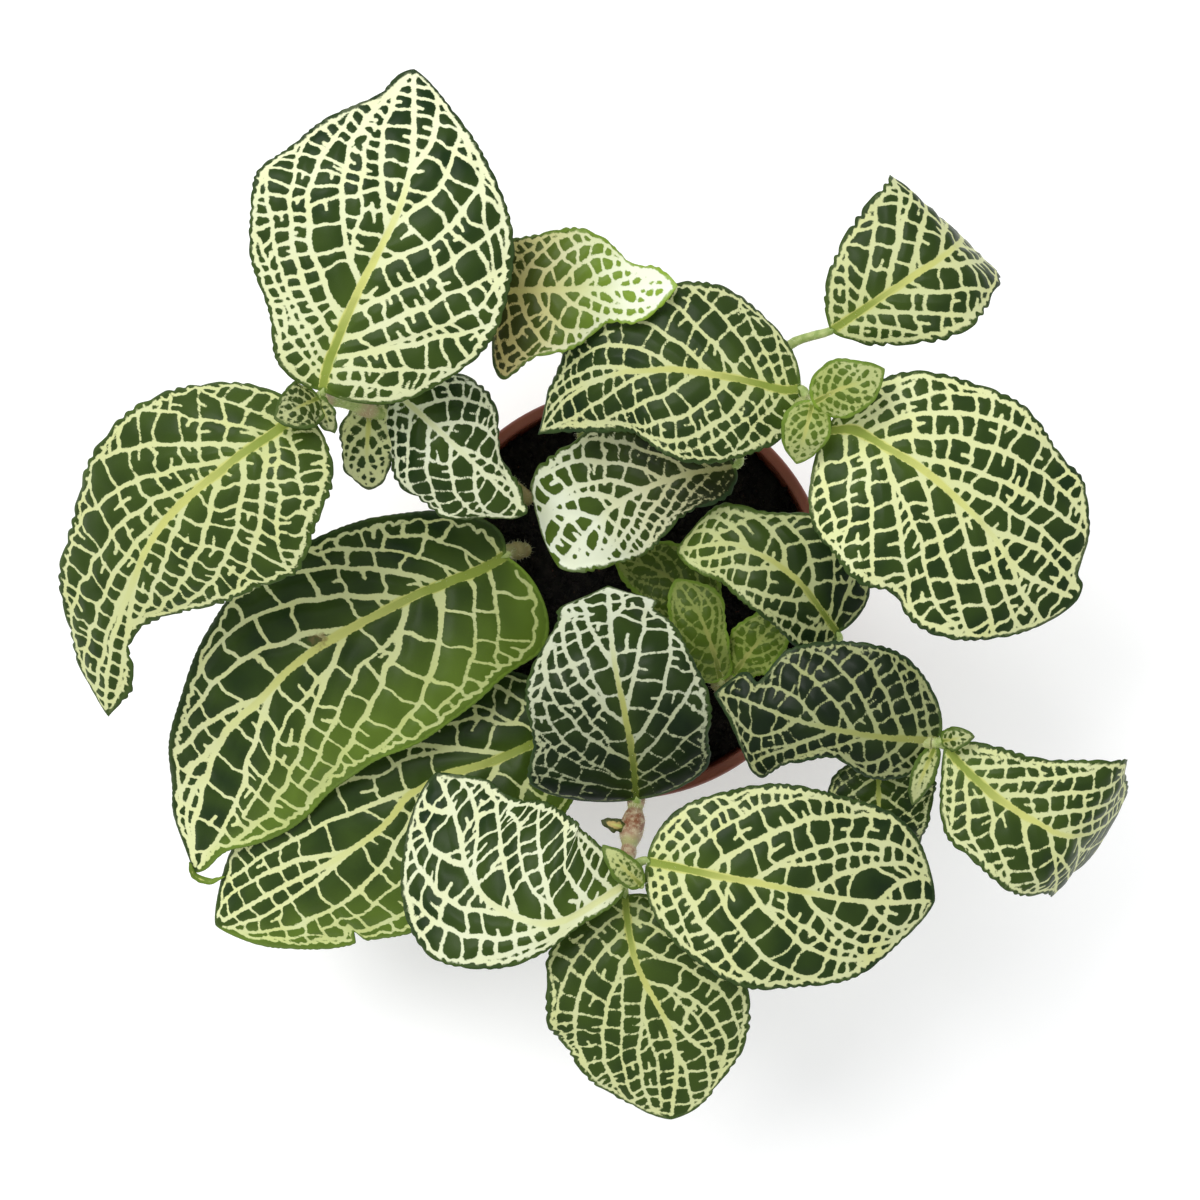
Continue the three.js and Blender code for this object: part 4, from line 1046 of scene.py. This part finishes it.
def potMaterial():
    # moulded polypropylene, terracotta brown: a fine eroded grain, with dried dust low down
    look = potLook
    material, tree, shader, place = newMaterial("moulded polypropylene, terracotta brown")
    height = addNode(tree, "SeparateXYZ", None, {0: place}).outputs["Z"]
    flow = addNode(tree, "TexNoise", None, {"Vector": place, "Scale": 1 / look["flow"], "Detail": 3.0})
    low = addNode(tree, "MapRange", softStep, {0: height, **span(*look["dusty"])})
    stain = blotches(tree, place, look["stain"], look["stains"], Detail=4.0, Roughness=0.6)
    dust = addNode(tree, "Math", times, {0: low, 1: stain})
    colour = look["dark"]
    for amount, over in ((flow, "light"), (dust, "dust")):
        colour = addNode(tree, "Mix", paint, {0: amount, 6: colour, 7: look[over]})
    gloss = addNode(tree, "MapRange", softStep, {0: stain, **span(*look["gloss"])})
    eroded = relief(tree, place, look["grain"], *look["grains"])
    setInputs(tree, shader, {"Base Color": colour, "Roughness": gloss, "Normal": eroded, "IOR": 1.49})
    return material


floorLook = {"bright": "#f7f7f6", "less": "#f3f3f2", "patch": 60.0, "glow": 0.13}


def floorMaterial():
    # matt white acrylic lit a little from behind, so that soft shadows stay pale on it
    look = floorLook
    material, tree, shader, place = newMaterial("backlit white acrylic")
    brushed = addNode(tree, "TexNoise", None, {"Vector": place, "Scale": 1 / look["patch"]})
    colour = addNode(tree, "Mix", paint, {0: brushed, 6: look["bright"], 7: look["less"]})
    setInputs(tree, shader, {"Base Color": colour, "Roughness": 0.9, "Specular IOR Level": 0.1,
                             "Emission Color": "#ffffff", "Emission Strength": look["glow"]})
    return material


# Stems and petioles: tubes along their paths, covered with short hairs

stemSizes = {
    "radius": 1.7, "tipRadius": 1.3, "sides": 14, "unevenness": 0.45, "unevenScale": 420.0, "points": 60,
    "footHeight": 50.0, "footPoints": 7,    # where the stems end in the soil, as in the CAD
    "jointLength": 1.8, "jointSwell": 0.3, "cork": 0.15,
    "bareFrom": 0.25, "bareStep": 0.24, "bareLength": 1.5, "bareJoint": 0.8,    # joints without leaves
    "sheathLength": 4.5, "sheathSwell": 0.4,
    "petioleRadius": 1.2, "petioleTip": 0.75, "petiolePoints": 16, "petioleReach": 0.4, "petioleJoin": 1.15,
    "endRadius": 0.3, "ribPoints": 12, "alongRib": (0.015, 0.3), "alongYoungRib": (0.015, 0.5),
    "underRib": 0.6, "endUnderRib": 0.5, "youngThick": 0.7, "petioleCork": 0.7, "petioleCorkLength": 1.2,
    "hairsPerSquareMm": 1.1, "hairLength": 0.9, "hairRadius": 0.035, "hairTip": 0.006,
    "hairsAbove": 71.0,
}


def stemLines(shoot):
    # every tube of a shoot: points, radii, and how near each point is to a joint of the stem
    sizes = stemSizes
    curve = curveThrough(shoot["stem"], sizes["points"])
    length = lengthOf(curve)
    shares = np.linspace(0, 1, len(curve))
    leaves = [leaf for leaf in shoot["leaves"] if leaf["petiole"]]
    corkiness = shoot.get("cork", sizes["cork"])

    def near(at, reach, power=2):
        return np.exp(-((shares - at) * length / reach) ** power)
    joint = np.zeros(len(curve))
    for on in {round(leaf["on"], 2) for leaf in leaves}:
        joint = np.maximum(joint, near(on, sizes["jointLength"]))
    for bare in np.arange(sizes["bareFrom"], min(leaf["on"] for leaf in leaves) - 0.1, sizes["bareStep"]):
        joint = np.maximum(joint, sizes["bareJoint"] * near(bare, sizes["bareLength"]))
    sheath = np.zeros(len(curve))
    for at in shoot.get("sheaths", []):
        sheath = sheath + near(at, sizes["sheathLength"], 4)
    joint = np.maximum(joint, sheath)
    radii = sizes["radius"] + (sizes["tipRadius"] - sizes["radius"]) * shares
    radii = radii * (1 + sizes["jointSwell"] * joint) * (1 + sizes["sheathSwell"] * sheath)
    count = sizes["footPoints"]
    foot = np.tile(curve[0], (count, 1))
    foot[:, 2] = np.linspace(sizes["footHeight"], curve[0][2], count + 1)[:-1]
    lines = [(np.vstack([foot, curve]), np.r_[np.full(count, radii[0]), radii],
              np.r_[np.zeros(count), joint * corkiness])]
    for leaf in leaves:
        rib = ribFrame(leaf)
        start = atShare(curve, np.array(leaf["on"]))
        way = unit(atShare(unit(np.gradient(curve, axis=0)), np.array(leaf["on"])))
        thick = sizes["youngThick"] if leaf["bud"] else 1.0
        base = rib["line"][0] - rib["up"][0] * sizes["underRib"] * thick
        reach = sizes["petioleReach"] * np.linalg.norm(start - base)
        a, b, c, d = start, start + way * reach, base - rib["along"][0] * reach, base
        t = np.linspace(0, 1, sizes["petiolePoints"])[:, None]
        arc = (1 - t) ** 3 * a + 3 * (1 - t) ** 2 * t * b + 3 * (1 - t) * t ** 2 * c + t ** 3 * d
        if leaf["petioleVia"]:
            arc = curveThrough([start, leaf["petioleVia"], base], sizes["petiolePoints"])
        ribShare = np.linspace(*sizes["alongYoungRib" if leaf["bud"] else "alongRib"], sizes["ribPoints"])
        depth = (sizes["underRib"] + sizes["endUnderRib"] * ribShare / ribShare[-1])[:, None]
        below = atShare(rib["line"], ribShare) - atShare(rib["up"], ribShare) * depth * thick
        points = np.vstack([arc, below])
        radii = np.r_[
            np.linspace(sizes["petioleRadius"], sizes["petioleTip"] * sizes["petioleJoin"], len(arc)),
            np.linspace(sizes["petioleTip"], sizes["endRadius"], len(below))] * thick
        away = np.linspace(0, 1, len(points)) * lengthOf(points)
        nearStem = np.exp(-(away / sizes["petioleCorkLength"]) ** 2)
        lines.append((points, radii, nearStem * sizes["petioleCork"] * corkiness))
    return lines


def crumpled(tree, shape, scale, reach):
    # the shape with its points moved by noise
    noise = addNode(tree, "ShaderNodeTexNoise", None, {"Scale": scale, "Detail": 2.0}).outputs["Color"]
    centred = addNode(tree, "ShaderNodeVectorMath", {"operation": "SUBTRACT"},
                      {0: noise, 1: (0.5, 0.5, 0.5)})
    offset = addNode(tree, "ShaderNodeVectorMath", {"operation": "SCALE"}, {0: centred, "Scale": reach})
    return addNode(tree, "SetPosition", None, {0: shape, "Offset": offset})


def spotsAbove(tree, surface, level, density, seed):
    # points strewn over the part of the surface that lies above a height in mm
    position = addNode(tree, "InputPosition")
    height = addNode(tree, "ShaderNodeSeparateXYZ", None, {0: position}).outputs["Z"]
    above = addNode(tree, "FunctionNodeCompare", {"operation": "GREATER_THAN"}, {0: height, 1: level * mm})
    return addNode(tree, "DistributePointsOnFaces", None, {
        0: surface, "Selection": above, "Density": density, "Seed": seed})


def stemTree():
    # tubes along the mesh's lines, then hairs spread over them
    tree, start, finish = geometryTree("hairy stems", {
        "Sides": 1, "Hairs per square metre": 1.0, "Hair length": 1.0, "Hair radius": 1.0, "Seed": 1,
        "Stem skin": None, "Hair": None})
    given = start.outputs
    thickness, onHair = [addNode(tree, "InputNamedAttribute", {"data_type": kind}, {"Name": name})
                         for kind, name in (("FLOAT", "thickness"), ("BOOLEAN", "onHair"))]
    paths = addNode(tree, "MeshToCurve", None, {0: start})
    ring = addNode(tree, "CurvePrimitiveCircle", None, {"Resolution": given["Sides"], "Radius": 1.0})
    tubes = addNode(tree, "CurveToMesh", None, {
        0: paths, 1: ring, "Scale": thickness, "Fill Caps": True})
    tubes = crumpled(tree, tubes, stemSizes["unevenScale"], stemSizes["unevenness"] * mm)
    tubes = addNode(tree, "SetShadeSmooth", None, {0: tubes})
    spots = spotsAbove(tree, tubes, stemSizes["hairsAbove"], given["Hairs per square metre"], given["Seed"])
    hair = addNode(tree, "MeshCone", {"fill_type": "NONE"}, {
        "Vertices": 3, "Radius Top": stemSizes["hairTip"] * mm, "Radius Bottom": given["Hair radius"],
        "Depth": given["Hair length"]})
    hair = addNode(tree, "StoreNamedAttribute", {"data_type": "BOOLEAN", "domain": "FACE"}, {
        0: hair, "Name": "onHair", "Value": True})
    tilt = addNode(tree, "FunctionNodeRandomValue", {"data_type": "FLOAT_VECTOR"}, {
        0: (-0.5, -0.5, 0.0), 1: (0.5, 0.5, roundTurn), "Seed": given["Seed"]})
    turned = addNode(tree, "FunctionNodeRotateRotation", {"rotation_space": "LOCAL"},
                     {0: spots.outputs["Rotation"], 1: tilt})
    scale = addNode(tree, "FunctionNodeRandomValue", {"data_type": "FLOAT"}, {2: 0.5, 3: 1.1, "Seed": 7})
    hairs = addNode(tree, "InstanceOnPoints", None, {
        0: spots, "Instance": hair, "Rotation": turned, "Scale": scale})
    joined = addNode(tree, "JoinGeometry", None, {0: [hairs, tubes]})
    solid = addNode(tree, "RealizeInstances", None, {0: joined})
    solid = addNode(tree, "SetMaterial", None, {0: solid, "Material": given["Stem skin"]})
    solid = addNode(tree, "SetMaterial", None, {
        0: solid, "Selection": onHair, "Material": given["Hair"]})
    setInputs(tree, finish, {0: solid})
    return tree


def growStems(shoot, seed, tree, skin, hair):
    points, edges, radii, joints = [], [], [], []
    for line, thickness, joint in stemLines(shoot):
        first = sum(len(p) for p in points)
        edges += [(first + i, first + i + 1) for i in range(len(line) - 1)]
        points.append(line)
        radii.append(thickness * mm)
        joints.append(joint)
    thing = plainMesh(shoot["name"] + "_stems", np.vstack(points), [], edges=edges,
                      values={"thickness": np.concatenate(radii), "joint": np.concatenate(joints)})
    applyTree(thing, tree, {
        "Sides": stemSizes["sides"], "Hairs per square metre": stemSizes["hairsPerSquareMm"] / mm ** 2,
        "Hair length": stemSizes["hairLength"] * mm, "Hair radius": stemSizes["hairRadius"] * mm,
        "Seed": seed, "Stem skin": skin, "Hair": hair})
    return thing


# The soil: a lumpy plug, strewn with crumbs

soilSizes = {
    "edge": 70.0, "mound": 1.5, "radius": 41.9, "lump": 0.65, "lumpLength": 14,
    "grainLength": 4.5, "lumpShare": 0.6, "foot": 1.5, "footRadius": 29.0,
    "wall": [(29.2, 1.6), (35.6, 40.0), (40.8, 68.0)],    # radius and height up the side
    "sides": 150, "rings": 46, "seed": 5,
    "crumbsPerSquareMm": 0.55, "crumb": 1.0, "crumple": 1.4, "crumpleScale": 1.6,
    "leastCrumb": (0.35, 0.3, 0.25), "mostCrumb": (1.5, 0.9, 0.7),
}


def soilPlug(material):
    sizes = soilSizes
    rng = random.Random(sizes["seed"])
    lumps, grains = wavesField(rng, sizes["lumpLength"]), wavesField(rng, sizes["grainLength"])
    sides, rings = sizes["sides"], sizes["rings"]
    profile = [(sizes["footRadius"] * k / 4, sizes["foot"]) for k in range(1, 5)] + sizes["wall"]
    profile += [(sizes["radius"] * (1 - k / rings), None) for k in range(rings)]
    points = [(0, 0, sizes["foot"])]
    for radius, height in profile:
        for k in range(sides):
            turn = fullTurn * k / sides
            x, y = radius * math.cos(turn), radius * math.sin(turn)
            level = height
            if height is None:
                place = np.array([x, y])
                rough = lumps(place) * sizes["lumpShare"] + grains(place) * (1 - sizes["lumpShare"])
                mound = sizes["mound"] * (1 - (radius / sizes["radius"]) ** 3)
                level = sizes["edge"] + mound + rough * sizes["lump"]
            points.append((x, y, level))
    points.append((0, 0, sizes["edge"] + sizes["mound"]))
    last = 1 + (len(profile) - 1) * sides
    faces = [(0, 1 + (k + 1) % sides, 1 + k) for k in range(sides)]
    for ring in range(len(profile) - 1):
        for k in range(sides):
            a, b = 1 + ring * sides + k, 1 + ring * sides + (k + 1) % sides
            faces.append((a, b, b + sides, a + sides))
    faces += [(last + k, last + (k + 1) % sides, len(points) - 1) for k in range(sides)]
    return plainMesh("soil_peat", points, faces, [material])


def crumbTree():
    # crumpled crumbs of different sizes strewn over the top of the plug
    tree, start, finish = geometryTree("strewn crumbs", {
        "Crumbs per square metre": 1.0, "Crumb size": 1.0, "Seed": 1, "Peat": None})
    given = start.outputs
    spots = spotsAbove(tree, start, soilSizes["edge"] - soilSizes["mound"],
                       given["Crumbs per square metre"], given["Seed"])
    ball = addNode(tree, "MeshIcoSphere", None, {"Radius": 1.0, "Subdivisions": 1})
    ball = crumpled(tree, ball, soilSizes["crumpleScale"], soilSizes["crumple"])
    spin = addNode(tree, "FunctionNodeRandomValue", {"data_type": "FLOAT_VECTOR"}, {
        0: (0.0, 0.0, 0.0), 1: (roundTurn, roundTurn, roundTurn), "Seed": given["Seed"]})
    spin = addNode(tree, "FunctionNodeEulerToRotation", None, {0: spin})
    low, high = [addNode(tree, "ShaderNodeVectorMath", {"operation": "SCALE"},
                         {0: soilSizes[key], "Scale": given["Crumb size"]})
                 for key in ("leastCrumb", "mostCrumb")]
    size = addNode(tree, "FunctionNodeRandomValue", {"data_type": "FLOAT_VECTOR"},
                   {0: low, 1: high, "Seed": 3})
    crumbs = addNode(tree, "InstanceOnPoints", None, {
        0: spots, "Instance": ball, "Rotation": spin, "Scale": size})
    joined = addNode(tree, "JoinGeometry", None, {0: [crumbs, start]})
    joined = addNode(tree, "SetShadeSmooth", None, {0: joined})
    solid = addNode(tree, "RealizeInstances", None, {0: joined})
    solid = addNode(tree, "SetMaterial", None, {0: solid, "Material": given["Peat"]})
    setInputs(tree, finish, {0: solid})
    return tree


# The pot: its profile turned round the axis, with drainage holes cut through its floor

potSizes = {
    "height": 80.0, "rimRadius": 45.0, "baseRadius": 31.0, "wall": 1.2, "bandHeight": 12.0, "bandStep": 1.4,
    "lip": 2.6, "rimDraft": 1.0, "round": 1.0, "lipRound": 0.9, "innerRound": 0.6, "chamfer": 0.3,
    "recess": 0.8, "footRing": [(14, 0.8), (15, 0.0), (16.2, 0.0), (17, 0.8), (27, 0.8), (28, 0.0)],
    "bead": 0.35, "bodySteps": (0.05, 0.06, 0.075, 0.3, 0.6, 0.9, 0.985),
    "sides": 160, "holes": 6, "holeRadius": 3.0, "holeCircle": 21.0, "holeSides": 32, "drill": 8.0,
}


def arcPoints(centre, radius, first, last, count):
    turns = np.radians(np.linspace(first, last, count))
    return [(centre[0] + radius * math.cos(t), centre[1] + radius * math.sin(t)) for t in turns]


def potProfile():
    # radius and height, from the middle of the underside up the outside, over the lip and down the inside
    s = potSizes
    bandFoot = s["height"] - s["bandHeight"]
    bandRadius = s["rimRadius"] - s["rimDraft"]
    bodyTop = bandRadius - s["bandStep"]
    outside = [(0, s["recess"])] + s["footRing"]
    outside += arcPoints((s["baseRadius"] - s["round"], s["round"]), s["round"], -90, 0, 6)
    body = [(s["baseRadius"] + (bodyTop - s["baseRadius"]) * t, s["round"] + (bandFoot - s["round"]) * t)
            for t in s["bodySteps"]]
    body[1] = (body[1][0] + s["bead"], body[1][1])
    band = [(bodyTop, bandFoot), (bandRadius - s["chamfer"], bandFoot),
            (bandRadius, bandFoot + s["chamfer"]), (s["rimRadius"] - 0.5, s["height"] - 2.2)]
    lip = arcPoints((s["rimRadius"] - s["lipRound"], s["height"] - s["lipRound"]), s["lipRound"], -20, 90, 7)
    lip += arcPoints((s["rimRadius"] - s["lip"] + s["innerRound"], s["height"] - s["innerRound"]),
                     s["innerRound"], 90, 180, 5)
    inside = [(bandRadius - s["wall"], bandFoot + 1.6), (bodyTop - s["wall"], bandFoot),
              (s["baseRadius"] - s["wall"], s["wall"]), (0, s["wall"])]
    return outside + body + band + lip + inside


def potTree():
    # the profile is swept round a ring of 1 mm, whose radius makePot takes off it, and then drilled
    tree, start, finish = geometryTree("turned pot", {
        "Sides": 1, "Holes": 1, "Hole radius": 1.0, "Hole circle": 1.0, "Plastic": None})
    given = start.outputs
    profile = addNode(tree, "MeshToCurve", None, {0: start})
    ring = addNode(tree, "CurvePrimitiveCircle", None, {"Resolution": given["Sides"], "Radius": 1 * mm})
    shell = addNode(tree, "CurveToMesh", None, {0: ring, 1: profile})
    shell = addNode(tree, "MergeByDistance", None, {0: shell, "Distance": 0.005 * mm})
    circle = addNode(tree, "MeshCircle", None, {
        "Vertices": given["Holes"], "Radius": given["Hole circle"]})
    drill = addNode(tree, "MeshCylinder", None, {
        "Vertices": potSizes["holeSides"], "Radius": given["Hole radius"], "Depth": potSizes["drill"] * mm})
    drills = addNode(tree, "InstanceOnPoints", None, {0: circle, "Instance": drill})
    drills = addNode(tree, "RealizeInstances", None, {0: drills})
    pot = addNode(tree, "MeshBoolean", {"operation": "DIFFERENCE", "solver": "EXACT"},
                  {0: shell, 1: drills})
    pot = addNode(tree, "RealizeInstances", None, {0: pot})
    pot = addNode(tree, "SetMaterial", None, {0: pot, "Material": given["Plastic"]})
    setInputs(tree, finish, {0: pot})
    return tree


def makePot(plastic):
    profile = [(radius - 1, -height, 0) for radius, height in potProfile()]
    pot = plainMesh("pot_shell", profile, [], edges=[(i, i + 1) for i in range(len(profile) - 1)])
    applyTree(pot, potTree(), {
        "Sides": potSizes["sides"], "Holes": potSizes["holes"], "Hole radius": potSizes["holeRadius"] * mm,
        "Hole circle": potSizes["holeCircle"] * mm, "Plastic": plastic})
    pot.data.set_sharp_from_angle(angle=math.radians(32))
    return pot


# The studio: board, light and the photograph's camera

studio = {
    "cameraPlace": (-5.7, -1.5, 780.0), "lens": 96.15, "sensor": 36.0, "farthest": 20,
    "boardSize": 9000.0, "worldColour": "#fbfcff", "worldStrength": 0.86,
    "keyPlace": (-1000.0, 1000.0, 2600.0), "keyAim": (0, 0, 100), "keySize": 1500.0, "keyPower": 52.0,
}


def makeStudio():
    scene = bpy.context.scene
    half = studio["boardSize"] / 2
    board = plainMesh("board", [(-half, -half, 0), (half, -half, 0), (half, half, 0), (-half, half, 0)],
                      [(0, 1, 2, 3)], [floorMaterial()])
    world = bpy.data.worlds.new("soft white room")
    world.use_nodes = True
    setInputs(world.node_tree, world.node_tree.nodes["Background"],
              {"Color": studio["worldColour"], "Strength": studio["worldStrength"]})
    scene.world = world
    key = bpy.data.lights.new("soft box", "AREA")
    key.size = studio["keySize"] * mm
    key.energy = studio["keyPower"]
    lamp = bpy.data.objects.new("soft box", key)
    lamp.location = Vector(studio["keyPlace"]) * mm
    aim = Vector(studio["keyAim"]) - Vector(studio["keyPlace"])
    lamp.rotation_euler = aim.to_track_quat("-Z", "Y").to_euler()
    scene.collection.objects.link(lamp)
    lens = bpy.data.cameras.new("camera")
    lens.lens = studio["lens"]
    lens.sensor_width = studio["sensor"]
    lens.clip_end = studio["farthest"]
    camera = bpy.data.objects.new("camera", lens)
    camera.location = Vector(studio["cameraPlace"]) * mm
    scene.collection.objects.link(camera)
    scene.camera = camera
    scene.view_settings.view_transform = "Standard"


makeStudio()
print("studio ready")

leafSkins = [leafUpperMaterial(), leafUnderMaterial()]
stemSkin, hair = stemMaterial(), hairMaterial()
hairyStems = stemTree()
for number, shoot in enumerate(shoots):
    settle(growBlades(shoot, number + 1, leafSkins), shoot["name"])
    settle(growStems(shoot, number + 1, hairyStems, stemSkin, hair), shoot["name"])
    print("grown", shoot["name"])

peat = peatMaterial()
soil = soilPlug(peat)
applyTree(soil, crumbTree(), {
    "Crumbs per square metre": soilSizes["crumbsPerSquareMm"] / mm ** 2,
    "Crumb size": soilSizes["crumb"] * mm, "Seed": soilSizes["seed"], "Peat": peat})
settle(soil, "soil")
print("soil strewn")

settle(makePot(potMaterial()), "pot")
print("pot turned")
